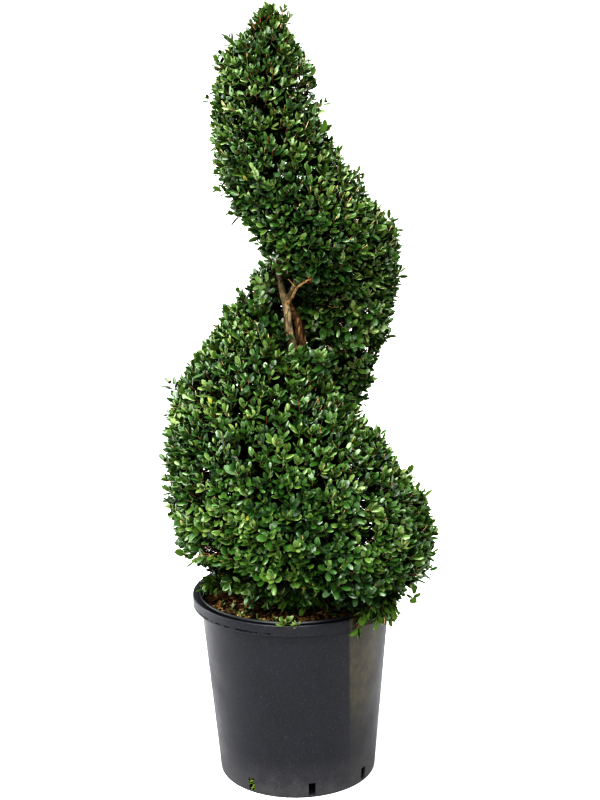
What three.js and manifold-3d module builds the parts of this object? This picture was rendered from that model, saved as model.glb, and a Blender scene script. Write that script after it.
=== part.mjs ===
// Spiral topiary of clipped boxwood, rooted in a plastic nursery pot.
// Millimetres, +Z up. The origin is under the middle of the pot, and the front is -Y.
// A band angle is in degrees, anticlockwise seen from above, with 0 towards +X. It runs on past 360
// as the spiral goes down, so 450 is the back again, one turn lower than 90.
import * as THREE from "three";
import { mergeVertices } from "three/addons/utils/BufferGeometryUtils.js";
import Module from "manifold-3d";

const wasm = await Module();
wasm.setup();

// Pot
const POT_HEIGHT = 350;
const POT_BASE_RADIUS = 146;
const POT_MOUTH_RADIUS = 177;
const POT_WALL = 3;
const POT_FLOOR = 4;
const POT_FOOT_EDGE = 3;
const RIM_RADIUS = 190;
const RIM_SKIRT = 21;
const RIM_WALL = 3.2;
const RIM_EDGE = 1;
const BEAD_RISE = 2;
const BEAD_WIDTH = 2.4;
const POT_SIDES = 48;
const SLOTS = { count: 8, width: 12, foot: 5, height: 24, turn: 10, cut: 9 };

// Soil
const SOIL_TOP = 326;
const CLEARANCE = 0.4;

// Clipped outline: its radius and its middle's sideways place, each at a height
const OUTLINE_RADIUS = [
  [360, 192],
  [450, 231],
  [600, 234],
  [800, 218],
  [980, 202],
  [1130, 133],
  [1230, 102],
  [1310, 82],
  [1370, 38],
  [1406, 4],
];
const OUTLINE_MIDDLE = [
  [380, 38],
  [600, 5],
  [800, 9],
  [1000, 2],
  [1200, -26],
  [1400, -27],
];
const FOLIAGE_FOOT = 372;
const FOOT_EDGE = { height: 60, start: 0.35, roundness: 2 };
const TOP_HEIGHT = 1407;

// Groove cut round the outline: the height of its bed at each band angle, and its two flanks
const GROOVE_BED = [
  [-90, 1420],
  [0, 1276],
  [90, 1110],
  [180, 988],
  [270, 888],
  [360, 770],
  [450, 240],
];
const GROOVE_START = -60;
const GROOVE_FULL = 60;
const GROOVE_RUNOUT = 150;
const UPPER_FLANK = { clear: 39, height: 210, roundness: 1.42 };
const LOWER_FLANK = { clear: 85, height: 198, roundness: 1.3 };

// Hollow round the stems, inside the leafy shell: its radius at each height
const HOLLOW_RADIUS = [
  [370, 62],
  [760, 60],
  [860, 50],
  [960, 40],
  [1300, 26],
];

// Foliage masses: sectors of the band between two band angles, under one crown tip
const CROWN_SPLIT = 1300;
const SEAM = 0.4;
const MASSES = [
  { name: "upper_back", from: 20, to: 120, bough: "trunk" },
  { name: "upper_left", from: 120, to: 210, bough: "trunk" },
  { name: "upper_front", from: 210, to: 300, bough: "trunk", bearing: 290, joins: 893 },
  { name: "upper_right", from: 300, to: 380, bough: "trunk" },
  { name: "middle_back", from: 380, to: 480, bough: "rear_stem", bearing: 430, joins: 800 },
  { name: "lower_left", from: 480, to: 570, bough: "trunk" },
  { name: "lower_front", from: 570, to: 660, bough: "trunk" },
  { name: "lower_right", from: 660, to: 732, bough: "trunk" },
  { name: "lower_tail", from: 732, to: 766, bough: "rear_stem" },
];

// Core of each mass: how far it lies inside the clipped surface
const CORE = { inset: 32, insetShare: 0.36, lift: 0.6, liftShare: 0.22, wall: 3, points: 9, step: 15 };

// Sprays: one twig with a leaf at its tip and two side leaves
const SPRAY = { spacing: 87, scatter: 0.16, stagger: 0.2, turnScatter: 40, goldenTurn: 137.5, seed: 7 };
const TWIG = { sunk: 10, shown: 15, shownShare: 0.4, radius: 3.6 };
const LEAF = { longest: 46, shortest: 22, reach: 1.2, width: 0.56, waist: 0.58, thickness: 0.07, sunk: 4 };
const SIDE_LEAF = { angle: 54, turns: [0, 120], heights: [0.66, 0.3], sunk: 0.6 };
const LEAF_MARGIN = 2.6;
const CLEAR_MARGIN = 4;

// Sprays that hang over the pot's rim at the front right
const OVERHANG = { from: 640, to: 712, count: 5, baseHeight: 405, foot: 343, outward: 22 };

// Crown tip: a small clipped cone on the trunk's last stretch
const TIP = { levels: 5, sides: 12, rows: 3, spacing: 66, coreBelowTop: 20, lift: 4, stemSunk: 20 };

// Stems: places [x, y, z, radius]
const TRUNK = [
  [14, 0, SOIL_TOP + CLEARANCE, 27],
  [16, 0, 352, 19],
  [22, 4, 450, 16.5],
  [30, 6, 600, 14],
  [28, 2, 740, 11],
  [18, 0, 810, 9.5],
  [0, -4, 893, 7.5],
  [-17, -4, 945, 6],
  [-22, 0, 1050, 5.2],
  [-23, 2, 1200, 4],
  [-25, 0, 1288, 3.2],
];
const REAR_STEM = [
  [46, 35, SOIL_TOP + CLEARANCE, 13],
  [44, 36, 400, 11.5],
  [41, 36, 560, 10],
  [36, 31, 690, 8.5],
  [26, 26, 780, 7.5],
  [20, 28, 850, 6.5],
];
const BOUGH = {
  lowRadius: 6.5,
  highRadius: 4,
  lowHeight: 400,
  highHeight: 1000,
  taper: 0.6,
  rise: 55,
  sag: 7,
  place: 0.45,
  sides: 6,
};
const MASS_STEM = { bare: 9, length: 27, taper: 0.8 };
const STEM_SIDES = 8;

const rad = THREE.MathUtils.degToRad;
const clamp01 = (value) => Math.min(1, Math.max(0, value));
const mix = (a, b, t) => a + (b - a) * t;

// A smooth curve through [place, value] knots, level past its ends.
function curve(knots, place) {
  const last = knots.length - 1;
  const x = Math.min(Math.max(place, knots[0][0]), knots[last][0]);
  let i = 0;
  while (i < last - 1 && x >= knots[i + 1][0]) i += 1;
  const slope = (k) => {
    if (k === 0 || k === last) {
      const [a, b] = k === 0 ? [0, 1] : [last - 1, last];
      return (knots[b][1] - knots[a][1]) / (knots[b][0] - knots[a][0]);
    }
    const before = knots[k][0] - knots[k - 1][0];
    const after = knots[k + 1][0] - knots[k][0];
    const rise = (knots[k][1] - knots[k - 1][1]) / before;
    const fall = (knots[k + 1][1] - knots[k][1]) / after;
    return (rise * after + fall * before) / (before + after);
  };
  const span = knots[i + 1][0] - knots[i][0];
  const t = (x - knots[i][0]) / span;
  const t2 = t * t;
  const t3 = t2 * t;
  return (
    (2 * t3 - 3 * t2 + 1) * knots[i][1] +
    (t3 - 2 * t2 + t) * span * slope(i) +
    (3 * t2 - 2 * t3) * knots[i + 1][1] +
    (t3 - t2) * span * slope(i + 1)
  );
}

// 0 to 1 with level ends.
function ease(value) {
  const t = clamp01(value);
  return t * t * (3 - 2 * t);
}

// 0 to 1, steep at first: the round shoulder of a clipped flank.
function shoulder(value, roundness) {
  return (1 - (1 - clamp01(value)) ** roundness) ** (1 / roundness);
}

const outlineRadius = (z) => curve(OUTLINE_RADIUS, z);
const outlineMiddle = (z) => curve(OUTLINE_MIDDLE, z);
const hollowRadius = (z) => curve(HOLLOW_RADIUS, z);

// How deep the groove is at a band angle, 0 to 1.
const grooveDepth = (angle) => ease((angle - GROOVE_START) / (GROOVE_FULL - GROOVE_START));

// The lowest and highest clipped surface of the band at an angle.
function bandSpan(angle) {
  const above = angle - 360;
  const depthBelow = grooveDepth(angle);
  const bed = curve(GROOVE_BED, angle) + UPPER_FLANK.clear * depthBelow;
  const runout = ease((bed - FOLIAGE_FOOT) / GROOVE_RUNOUT);
  const depthAbove = above > GROOVE_START ? grooveDepth(above) : 0;
  const ceiling = curve(GROOVE_BED, above) - LOWER_FLANK.clear * depthAbove;
  const openAbove = ceiling < CROWN_SPLIT;
  return {
    bottom: Math.max(bed, FOLIAGE_FOOT),
    top: openAbove ? ceiling : CROWN_SPLIT - SEAM,
    depthBelow: depthBelow * runout,
    depthAbove: openAbove ? depthAbove : 0,
  };
}

// The band's clipped surface: its distance from the outline's middle at an angle and height.
function bandRadius(span, z) {
  const inner = hollowRadius(z);
  const rise = shoulder((z - span.bottom) / UPPER_FLANK.height, UPPER_FLANK.roundness);
  const fall = shoulder((span.top - z) / LOWER_FLANK.height, LOWER_FLANK.roundness);
  const edge = (z - FOLIAGE_FOOT) / FOOT_EDGE.height + FOOT_EDGE.start;
  const foot = shoulder(edge, FOOT_EDGE.roundness);
  const under = (1 - span.depthBelow * (1 - rise)) * foot;
  const over = 1 - span.depthAbove * (1 - fall);
  return inner + Math.max(0, outlineRadius(z) - inner) * under * over;
}

// The outer curve of the band at an angle, bottom to top, on the clipped surface and on the core.
function bandSection(angle) {
  const span = bandSpan(angle);
  const height = span.top - span.bottom;
  const shell = [];
  for (let i = 0; i < CORE.points; i += 1) {
    const t = (1 - Math.cos((Math.PI * i) / (CORE.points - 1))) / 2;
    const z = span.bottom + height * t;
    shell.push({ r: bandRadius(span, z), z, t });
  }
  const widest = Math.max(...shell.map((point) => point.r - hollowRadius(point.z)));
  const inset = Math.min(CORE.inset, CORE.insetShare * widest);
  const lift = Math.min(inset * CORE.lift, height * CORE.liftShare);
  const bottomLift = angle < GROOVE_FULL ? lift * span.depthBelow : lift;
  const core = shell.map(({ r, z, t }) => {
    const inner = hollowRadius(z);
    return {
      r: inner + CORE.wall + (r - inner) * (1 - inset / widest),
      z: z + bottomLift * (1 - t) - lift * span.depthAbove * t,
    };
  });
  return { shell, core };
}

// A point at a band angle, radius and height, moved sideways along the band by shift.
function onBand(angle, r, z, shift = 0) {
  const a = rad(angle);
  return new THREE.Vector3(
    outlineMiddle(z) + r * Math.cos(a) - shift * Math.sin(a),
    r * Math.sin(a) + shift * Math.cos(a),
    z,
  );
}

// A closed solid from a three.js geometry.
function solidOf(geometry) {
  const bare = geometry.clone();
  bare.deleteAttribute("normal");
  bare.deleteAttribute("uv");
  const merged = mergeVertices(bare, 1e-3);
  const triVerts = new Uint32Array(merged.index.array);
  const vertProperties = merged.attributes.position.array;
  const made = new wasm.Manifold(new wasm.Mesh({ numProp: 3, vertProperties, triVerts }));
  if (made.volume() > 0) return made;
  for (let i = 0; i < triVerts.length; i += 3) {
    [triVerts[i + 1], triVerts[i + 2]] = [triVerts[i + 2], triVerts[i + 1]];
  }
  return new wasm.Manifold(new wasm.Mesh({ numProp: 3, vertProperties, triVerts }));
}

// The largest body of a solid: loose scraps and sealed hollows go.
function largestBody(solid) {
  return solid.decompose().reduce((best, body) => (body.volume() > best.volume() ? body : best));
}

function geometryOf(solid) {
  const mesh = solid.getMesh();
  const position = new Float32Array(mesh.numVert * 3);
  for (let i = 0; i < mesh.numVert; i += 1) {
    position.set(mesh.vertProperties.subarray(i * mesh.numProp, i * mesh.numProp + 3), i * 3);
  }
  const geometry = new THREE.BufferGeometry();
  geometry.setAttribute("position", new THREE.BufferAttribute(position, 3));
  geometry.setIndex(new THREE.BufferAttribute(mesh.triVerts, 1));
  geometry.computeVertexNormals();
  return geometry;
}

// A closed solid through rings of points, all with the same count, its two ends filled by triangles.
function loft(rings, firstEnd, lastEnd = firstEnd) {
  const count = rings[0].length;
  const position = rings.flat().flatMap((point) => point.toArray());
  const index = [];
  for (let i = 0; i + 1 < rings.length; i += 1) {
    for (let j = 0; j < count; j += 1) {
      const a = i * count + j;
      const b = i * count + ((j + 1) % count);
      index.push(a, b, b + count, a, b + count, a + count);
    }
  }
  const far = (rings.length - 1) * count;
  for (const [a, b, c] of firstEnd) index.push(a, c, b);
  for (const [a, b, c] of lastEnd) index.push(far + a, far + b, far + c);
  const geometry = new THREE.BufferGeometry();
  geometry.setAttribute("position", new THREE.Float32BufferAttribute(position, 3));
  geometry.setIndex(index);
  return solidOf(geometry);
}

// A repeatable run of numbers from 0 to 1.
function randomRun(seed) {
  let state = seed >>> 0;
  return () => {
    state = (state + 0x6d2b79f5) >>> 0;
    let t = state;
    t = Math.imul(t ^ (t >>> 15), t | 1);
    t ^= t + Math.imul(t ^ (t >>> 7), t | 61);
    return ((t ^ (t >>> 14)) >>> 0) / 4294967296;
  };
}

// A tapering limb along places [x, y, z, radius], grown all round by extra.
function limb(places, sides, extra = 0) {
  const path = new THREE.CatmullRomCurve3(
    places.map(([x, y, z]) => new THREE.Vector3(x, y, z)),
    false,
    "centripetal",
  );
  const steps = (places.length - 1) * 2;
  const rings = [];
  for (let i = 0; i <= steps; i += 1) {
    const along = i / steps;
    const k = Math.min(Math.floor(along * (places.length - 1)), places.length - 2);
    const t = along * (places.length - 1) - k;
    const radius = mix(places[k][3], places[k + 1][3], t) + extra;
    const middle = path.getPoint(along);
    const tangent = i === 0 && !extra ? new THREE.Vector3(0, 0, 1) : path.getTangent(along);
    const side = new THREE.Vector3(0, 1, 0).cross(tangent).normalize();
    const other = tangent.clone().cross(side).normalize();
    const ring = [];
    for (let j = 0; j < sides; j += 1) {
      const turn = (2 * Math.PI * j) / sides;
      ring.push(
        middle
          .clone()
          .addScaledVector(side, radius * Math.cos(turn))
          .addScaledVector(other, radius * Math.sin(turn)),
      );
    }
    rings.push(ring);
  }
  const fan = [];
  for (let j = 1; j + 1 < sides; j += 1) fan.push([0, j, j + 1]);
  return loft(rings, fan);
}

// The place on a limb's middle line at a height.
function limbPlace(places, z) {
  const column = (k) => places.map((place) => [place[2], place[k]]);
  return new THREE.Vector3(curve(column(0), z), curve(column(1), z), z);
}

const limbs = [];

// Whether a point is clear of every stem and bough.
function clearOfLimbs(point, margin) {
  return limbs.every((places) =>
    places.slice(1).every((place, i) => {
      const [ax, ay, az, ar] = places[i];
      const [bx, by, bz, br] = place;
      const from = new THREE.Vector3(ax, ay, az);
      const to = new THREE.Vector3(bx, by, bz);
      const nearest = new THREE.Line3(from, to).closestPointToPoint(point, true, new THREE.Vector3());
      return nearest.distanceTo(point) > Math.max(ar, br) + margin;
    }),
  );
}

// Whether a point is clear of the pot and the soil.
function clearOfPot(point) {
  if (point.z > POT_HEIGHT + BEAD_RISE + CLEAR_MARGIN) return true;
  const r = Math.hypot(point.x, point.y);
  if (r > RIM_RADIUS + CLEAR_MARGIN) return true;
  return r < POT_MOUTH_RADIUS - POT_WALL - 2 * CLEAR_MARGIN && point.z > SOIL_TOP + CLEAR_MARGIN;
}

// Whether a point lies in a sector's own space.
function inSector(mass, point) {
  const x = point.x - outlineMiddle(point.z);
  const y = point.y;
  const a = rad(mass.from);
  const b = rad(mass.to);
  if (y * Math.cos(a) - x * Math.sin(a) < LEAF_MARGIN) return false;
  if (x * Math.sin(b) - y * Math.cos(b) < LEAF_MARGIN) return false;
  const middle = (mass.from + mass.to) / 2;
  const turned = THREE.MathUtils.euclideanModulo(
    THREE.MathUtils.radToDeg(Math.atan2(y, x)) - middle + 180,
    360,
  );
  const angle = turned - 180 + middle;
  const bed = curve(GROOVE_BED, angle);
  if (bed > FOLIAGE_FOOT && point.z < bed + CLEAR_MARGIN) return false;
  const ceiling = Math.min(curve(GROOVE_BED, angle - 360), CROWN_SPLIT + CLEAR_MARGIN - LEAF_MARGIN);
  return point.z < ceiling - CLEAR_MARGIN;
}

const isClear = (point) => clearOfLimbs(point, CLEAR_MARGIN) && clearOfPot(point);

// A leaf's root and tip and the two points of its widest place.
function leafPoints(root, heading, across, length) {
  const waist = root.clone().addScaledVector(heading, length * LEAF.waist);
  const half = (LEAF.width * length) / 2;
  return [
    root,
    root.clone().addScaledVector(heading, length),
    waist.clone().addScaledVector(across, half),
    waist.clone().addScaledVector(across, -half),
  ];
}

// A leaf: eight faces, pointed at both ends and widest at its waist.
function leaf(root, heading, across, length) {
  const face = heading.clone().cross(across).multiplyScalar((LEAF.thickness * length) / 2);
  const basis = new THREE.Matrix4().makeBasis(
    heading.clone().multiplyScalar(length / 2),
    across.clone().multiplyScalar((LEAF.width * length) / 2),
    face,
  );
  basis.setPosition(root.clone().addScaledVector(heading, length / 2));
  const blade = new THREE.OctahedronGeometry(1, 0);
  const corners = blade.getAttribute("position");
  for (let i = 0; i < corners.count; i += 1) {
    if (Math.abs(corners.getX(i)) < 0.5) corners.setX(i, 2 * LEAF.waist - 1);
  }
  return solidOf(blade.applyMatrix4(basis));
}

// The three corners of a twig at a point, one flat side turned to face a way.
function twigRing(point, direction, facing) {
  return [60, 180, 300].map((degrees) => {
    const outward = facing.clone().applyAxisAngle(direction, rad(degrees));
    return point.clone().addScaledVector(outward, TWIG.radius);
  });
}

// A spray from the core's surface out to the clipped surface. What would leave the space is skipped.
function spray(base, goal, turn, allowed) {
  const way = goal.clone().sub(base);
  const reach = way.length();
  const direction = way.normalize();
  const shown = Math.min(TWIG.shown, reach * TWIG.shownShare);
  const root = base.clone().addScaledVector(direction, -TWIG.sunk);
  const end = base.clone().addScaledVector(direction, shown);
  const guide = Math.abs(direction.z) > 0.9 ? new THREE.Vector3(1, 0, 0) : new THREE.Vector3(0, 0, 1);
  const level = direction.clone().cross(guide).normalize();
  const tipRoot = end.clone().addScaledVector(direction, -LEAF.sunk);
  const sideLength = Math.min(LEAF.longest, Math.max(LEAF.shortest, reach * LEAF.reach));
  const grow = (degrees) => {
    const facing = level.clone().applyAxisAngle(direction, rad(degrees));
    const leaves = [[tipRoot, direction, direction.clone().cross(facing), reach - shown + LEAF.sunk]];
    SIDE_LEAF.turns.forEach((sideTurn, i) => {
      const outward = facing.clone().applyAxisAngle(direction, rad(sideTurn));
      const across = direction.clone().cross(outward);
      const heading = direction.clone().applyAxisAngle(across, rad(SIDE_LEAF.angle));
      const node = base.clone().addScaledVector(direction, shown * SIDE_LEAF.heights[i]);
      node.addScaledVector(outward, -TWIG.radius * SIDE_LEAF.sunk);
      leaves.push([node, heading, across, sideLength]);
    });
    const fits = twigRing(root, direction, facing).concat(twigRing(end, direction, facing)).every(allowed);
    return { facing, leaves: fits ? leaves.filter((shape) => leafPoints(...shape).every(allowed)) : [] };
  };
  const tries = [0, 60, 120, 180, 240, 300].map((extra) => grow(turn + extra));
  const best = tries.reduce((most, next) => (next.leaves.length > most.leaves.length ? next : most));
  if (!best.leaves.length) return [];
  const twig = loft(
    [twigRing(root, direction, best.facing), twigRing(end, direction, best.facing)],
    [[0, 1, 2]],
  );
  return [twig, ...best.leaves.map((shape) => leaf(...shape))];
}

// A point of a sector's shell or core, at a share of the way along its outer curve.
function outerPoint(angle, along, layer) {
  const points = bandSection(angle)[layer];
  const place = along * (points.length - 1);
  const i = Math.min(Math.floor(place), points.length - 2);
  const r = mix(points[i].r, points[i + 1].r, place - i);
  const z = mix(points[i].z, points[i + 1].z, place - i);
  return onBand(angle, r, z);
}

// Sprays all over a sector's clipped surface, in staggered rows of even spacing.
function sectorSprays(mass, random) {
  const width = mass.to - mass.from;
  const middle = bandSection((mass.from + mass.to) / 2).shell;
  const lengths = [0];
  for (let i = 1; i < middle.length; i += 1) {
    const step = Math.hypot(middle[i].r - middle[i - 1].r, middle[i].z - middle[i - 1].z);
    lengths.push(lengths[i - 1] + step);
  }
  const total = lengths[lengths.length - 1];
  const rows = Math.max(1, Math.round(total / SPRAY.spacing));
  const allowed = (point) => inSector(mass, point) && isClear(point);
  const pieces = [];
  let count = 0;
  for (let row = 0; row < rows; row += 1) {
    const goal = ((row + 0.5) / rows) * total;
    const i = Math.max(1, lengths.findIndex((length) => length >= goal));
    const step = (goal - lengths[i - 1]) / (lengths[i] - lengths[i - 1]);
    const along = (i - 1 + step) / (CORE.points - 1);
    const radius = mix(middle[i - 1].r, middle[i].r, step);
    const places = Math.max(1, Math.round((radius * rad(width)) / SPRAY.spacing));
    const stagger = row % 2 ? SPRAY.stagger : -SPRAY.stagger;
    for (let j = 0; j < places; j += 1) {
      const scatter = (random() - 0.5) * SPRAY.scatter;
      const angle = mass.from + (width * (j + 0.5 + stagger + scatter)) / places;
      const lift = clamp01(along + ((random() - 0.5) * SPRAY.scatter) / rows);
      const base = outerPoint(angle, lift, "core");
      const end = outerPoint(angle, lift, "shell");
      const turn = SPRAY.goldenTurn * count + SPRAY.turnScatter * random();
      pieces.push(...spray(base, end, turn, allowed));
      count += 1;
    }
  }
  return pieces.concat(overhangSprays(mass, allowed));
}

// The sprays of a sector that hang outside the pot's rim.
function overhangSprays(mass, allowed) {
  const pieces = [];
  for (let i = 0; i < OVERHANG.count; i += 1) {
    const angle = mix(OVERHANG.from, OVERHANG.to, i / (OVERHANG.count - 1));
    if (angle > mass.from && angle < mass.to) {
      const { core } = bandSection(angle);
      const next = core.findIndex((point) => point.z > OVERHANG.baseHeight);
      const base = onBand(angle, core[next - 1].r, core[next - 1].z);
      const goal = onBand(angle, core[next - 1].r + OVERHANG.outward, OVERHANG.foot);
      pieces.push(...spray(base, goal, SPRAY.goldenTurn * i, allowed));
    }
  }
  return pieces;
}

// A sector's core, hollow round the stems, with its two ends square to the band.
function sectorCore(mass) {
  const steps = Math.ceil((mass.to - mass.from) / CORE.step);
  const rings = [];
  const ends = [];
  for (let i = 0; i <= steps; i += 1) {
    const angle = mix(mass.from, mass.to, i / steps);
    const shift = i === 0 ? SEAM : i === steps ? -SEAM : 0;
    const { core } = bandSection(angle);
    const foot = core[0].z;
    const head = core[core.length - 1].z;
    const ring = core.map(({ r, z }) => [r, z]);
    ring.push([hollowRadius(head), head], [hollowRadius(foot), foot]);
    rings.push(ring.map(([r, z]) => onBand(angle, r, z, shift)));
    if (shift) {
      const outline = ring.map(([r, z]) => new THREE.Vector2(r, z));
      ends.push(THREE.ShapeUtils.triangulateShape(outline, []));
    }
  }
  return loft(rings, ...ends);
}

// The bough that carries a sector, as places from its limb to the hollow's wall.
function boughPlaces(mass) {
  const parent = mass.bough === "trunk" ? TRUNK : REAR_STEM;
  const bearing = mass.bearing ?? (mass.from + mass.to) / 2;
  const { core } = bandSection(bearing);
  const z = mass.joins ? mass.joins + BOUGH.rise : mix(core[0].z, core[core.length - 1].z, BOUGH.place);
  const lowest = SOIL_TOP + BOUGH.rise;
  const start = limbPlace(parent, mass.joins ?? Math.max(lowest, z - BOUGH.rise));
  const end = onBand(bearing, hollowRadius(z) - MASS_STEM.bare, z);
  const height = clamp01((z - BOUGH.lowHeight) / (BOUGH.highHeight - BOUGH.lowHeight));
  const radius = mix(BOUGH.lowRadius, BOUGH.highRadius, height);
  const bend = start.clone().lerp(end, 0.5);
  bend.z -= BOUGH.sag;
  return [
    [...start.toArray(), radius],
    [...bend.toArray(), radius * mix(1, BOUGH.taper, 0.5)],
    [...end.toArray(), radius * BOUGH.taper],
  ];
}

// The stem of a mass: it goes on from the bough's tip into the core.
function massStem(places) {
  const [before, tip] = places.slice(-2);
  const from = new THREE.Vector3(...before);
  const to = new THREE.Vector3(...tip);
  const end = to.clone().addScaledVector(to.clone().sub(from).normalize(), MASS_STEM.length);
  return limb([tip, [...end.toArray(), tip[3] * MASS_STEM.taper]], BOUGH.sides);
}

// The crown tip: a clipped cone over the split, on the trunk's last stretch.
function crownTip(random) {
  const middle = outlineMiddle(CROWN_SPLIT);
  const top = OUTLINE_RADIUS[OUTLINE_RADIUS.length - 1][0];
  const coreTop = top - TIP.coreBelowTop;
  const shellAt = (t) => {
    const z = mix(CROWN_SPLIT, top, t);
    return { r: outlineRadius(z), z };
  };
  const coreAt = (t) => ({
    r: shellAt(t).r * (1 - CORE.insetShare),
    z: mix(CROWN_SPLIT + SEAM, coreTop, t),
  });
  const profile = [new THREE.Vector2(0, CROWN_SPLIT + SEAM)];
  for (let i = 0; i < TIP.levels; i += 1) {
    const { r, z } = coreAt(i / TIP.levels);
    profile.push(new THREE.Vector2(r, z));
  }
  profile.push(new THREE.Vector2(0, coreTop));
  const core = new THREE.LatheGeometry(profile, TIP.sides);
  core.rotateX(Math.PI / 2).translate(middle, 0, 0);
  const trunkTip = TRUNK[TRUNK.length - 1];
  const stemFoot = [trunkTip[0], trunkTip[1], trunkTip[2] + CLEARANCE, trunkTip[3]];
  const stemHead = [trunkTip[0], trunkTip[1], CROWN_SPLIT + TIP.stemSunk, trunkTip[3]];
  const pieces = [solidOf(core), limb([stemFoot, stemHead], STEM_SIDES)];
  const allowed = (point) => point.z > CROWN_SPLIT + LEAF_MARGIN && isClear(point);
  let count = 0;
  for (let row = 0; row < TIP.rows; row += 1) {
    const t = (row + 0.5) / (TIP.rows + 0.5);
    const shell = shellAt(t);
    const base = coreAt(t);
    const places = Math.max(3, Math.round((2 * Math.PI * shell.r) / TIP.spacing));
    for (let j = 0; j < places; j += 1) {
      const angle = (360 * (j + (row % 2) / 2 + (random() - 0.5) * SPRAY.scatter)) / places;
      const from = onBand(angle, base.r, base.z);
      const goal = onBand(angle, shell.r, shell.z + TIP.lift);
      pieces.push(...spray(from, goal, SPRAY.goldenTurn * count, allowed));
      count += 1;
    }
  }
  const peakFoot = new THREE.Vector3(middle, 0, coreTop - TIP.lift);
  const peak = new THREE.Vector3(middle + TIP.lift, 0, TOP_HEIGHT);
  return pieces.concat(spray(peakFoot, peak, 0, allowed));
}

// The pot: a tapering wall with a bead and a skirted rim, and drain slots round its foot.
function pot() {
  const bead = POT_MOUTH_RADIUS - POT_WALL;
  const under = POT_HEIGHT - RIM_WALL;
  const wallAt = (z) => mix(POT_BASE_RADIUS, POT_MOUTH_RADIUS, z / POT_HEIGHT);
  const profile = [
    [0, 0],
    [POT_BASE_RADIUS - POT_FOOT_EDGE, 0],
    [wallAt(POT_FOOT_EDGE), POT_FOOT_EDGE],
    [wallAt(under), under],
    [RIM_RADIUS - RIM_WALL, under],
    [RIM_RADIUS - RIM_WALL, POT_HEIGHT - RIM_SKIRT],
    [RIM_RADIUS, POT_HEIGHT - RIM_SKIRT],
    [RIM_RADIUS, POT_HEIGHT - RIM_EDGE],
    [RIM_RADIUS - RIM_EDGE, POT_HEIGHT],
    [bead + 2 * BEAD_WIDTH, POT_HEIGHT],
    [bead + BEAD_WIDTH, POT_HEIGHT + BEAD_RISE],
    [bead, POT_HEIGHT + BEAD_RISE],
    [wallAt(POT_FLOOR) - POT_WALL, POT_FLOOR],
    [0, POT_FLOOR],
  ];
  const points = profile.map(([r, z]) => new THREE.Vector2(r, z));
  let body = solidOf(new THREE.LatheGeometry(points, POT_SIDES).rotateX(Math.PI / 2));
  for (let i = 0; i < SLOTS.count; i += 1) {
    const slot = new THREE.BoxGeometry(SLOTS.width, 2 * SLOTS.cut, SLOTS.height);
    slot.translate(0, -POT_BASE_RADIUS, SLOTS.foot + SLOTS.height / 2);
    slot.rotateZ(rad(SLOTS.turn + (360 * i) / SLOTS.count));
    body = body.subtract(solidOf(slot));
  }
  return body;
}

// The soil fills the pot up to its level top.
function soil() {
  const wallAt = (z) => mix(POT_BASE_RADIUS, POT_MOUTH_RADIUS, z / POT_HEIGHT) - POT_WALL;
  const foot = POT_FLOOR + CLEARANCE;
  const inside = 2 * CLEARANCE;
  const profile = [
    [0, foot],
    [wallAt(foot) - inside, foot],
    [wallAt(SOIL_TOP) - inside, SOIL_TOP],
    [0, SOIL_TOP],
  ];
  const points = profile.map(([r, z]) => new THREE.Vector2(r, z));
  return solidOf(new THREE.LatheGeometry(points, POT_SIDES).rotateX(Math.PI / 2));
}

const material = (color, roughness) => new THREE.MeshStandardMaterial({ color, roughness, metalness: 0 });

const topiary = new THREE.Group();
topiary.name = "spiral_topiary";

function place(name, solid, look) {
  const mesh = new THREE.Mesh(geometryOf(solid), look);
  mesh.name = name;
  topiary.add(mesh);
}

const bark = () => material(0xa98f68, 0.8);
const boxLeaf = () => material(0x2f5a2c, 0.45);

place("pot", pot(), material(0x36373c, 0.5));
place("soil", soil(), material(0x4a3a2c, 0.95));

limbs.push(TRUNK, REAR_STEM);
const trunkSolid = limb(TRUNK, STEM_SIDES);
const trunkGrown = limb(TRUNK, STEM_SIDES, CLEARANCE);
const rearGrown = limb(REAR_STEM, STEM_SIDES, CLEARANCE);
place("trunk", trunkSolid, bark());
place("rear_stem", limb(REAR_STEM, STEM_SIDES), bark());

const boughs = MASSES.map((mass) => boughPlaces(mass));
limbs.push(...boughs);
MASSES.forEach((mass, i) => {
  const cut = limb(boughs[i], BOUGH.sides).subtract(trunkGrown).subtract(rearGrown);
  place("bough_" + mass.name, largestBody(cut), bark());
});

MASSES.forEach((mass, i) => {
  const random = randomRun(SPRAY.seed + i);
  const boughGrown = limb(boughs[i], BOUGH.sides, CLEARANCE);
  const pieces = [sectorCore(mass), massStem(boughs[i]), ...sectorSprays(mass, random)];
  const whole = wasm.Manifold.union(pieces).subtract(boughGrown);
  place("foliage_" + mass.name, largestBody(whole), boxLeaf());
});
const tipPieces = crownTip(randomRun(SPRAY.seed + MASSES.length));
place("foliage_crown_tip", largestBody(wasm.Manifold.union(tipPieces)), boxLeaf());

export default topiary;
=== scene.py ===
"""Clipped box spiral in a plastic nursery pot, laid out as a Blender add-on and run as a script.

Metres, +Z up, the front is -Y. A band angle is in degrees, anticlockwise seen from above, with 0
towards +X; it runs on past 360 as the spiral goes down, so 450 is the back again, one turn lower.
"""
import math

import bpy
import numpy as np
from bpy.props import FloatProperty, IntProperty, PointerProperty, StringProperty
from mathutils import Matrix, Vector, noise


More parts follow.
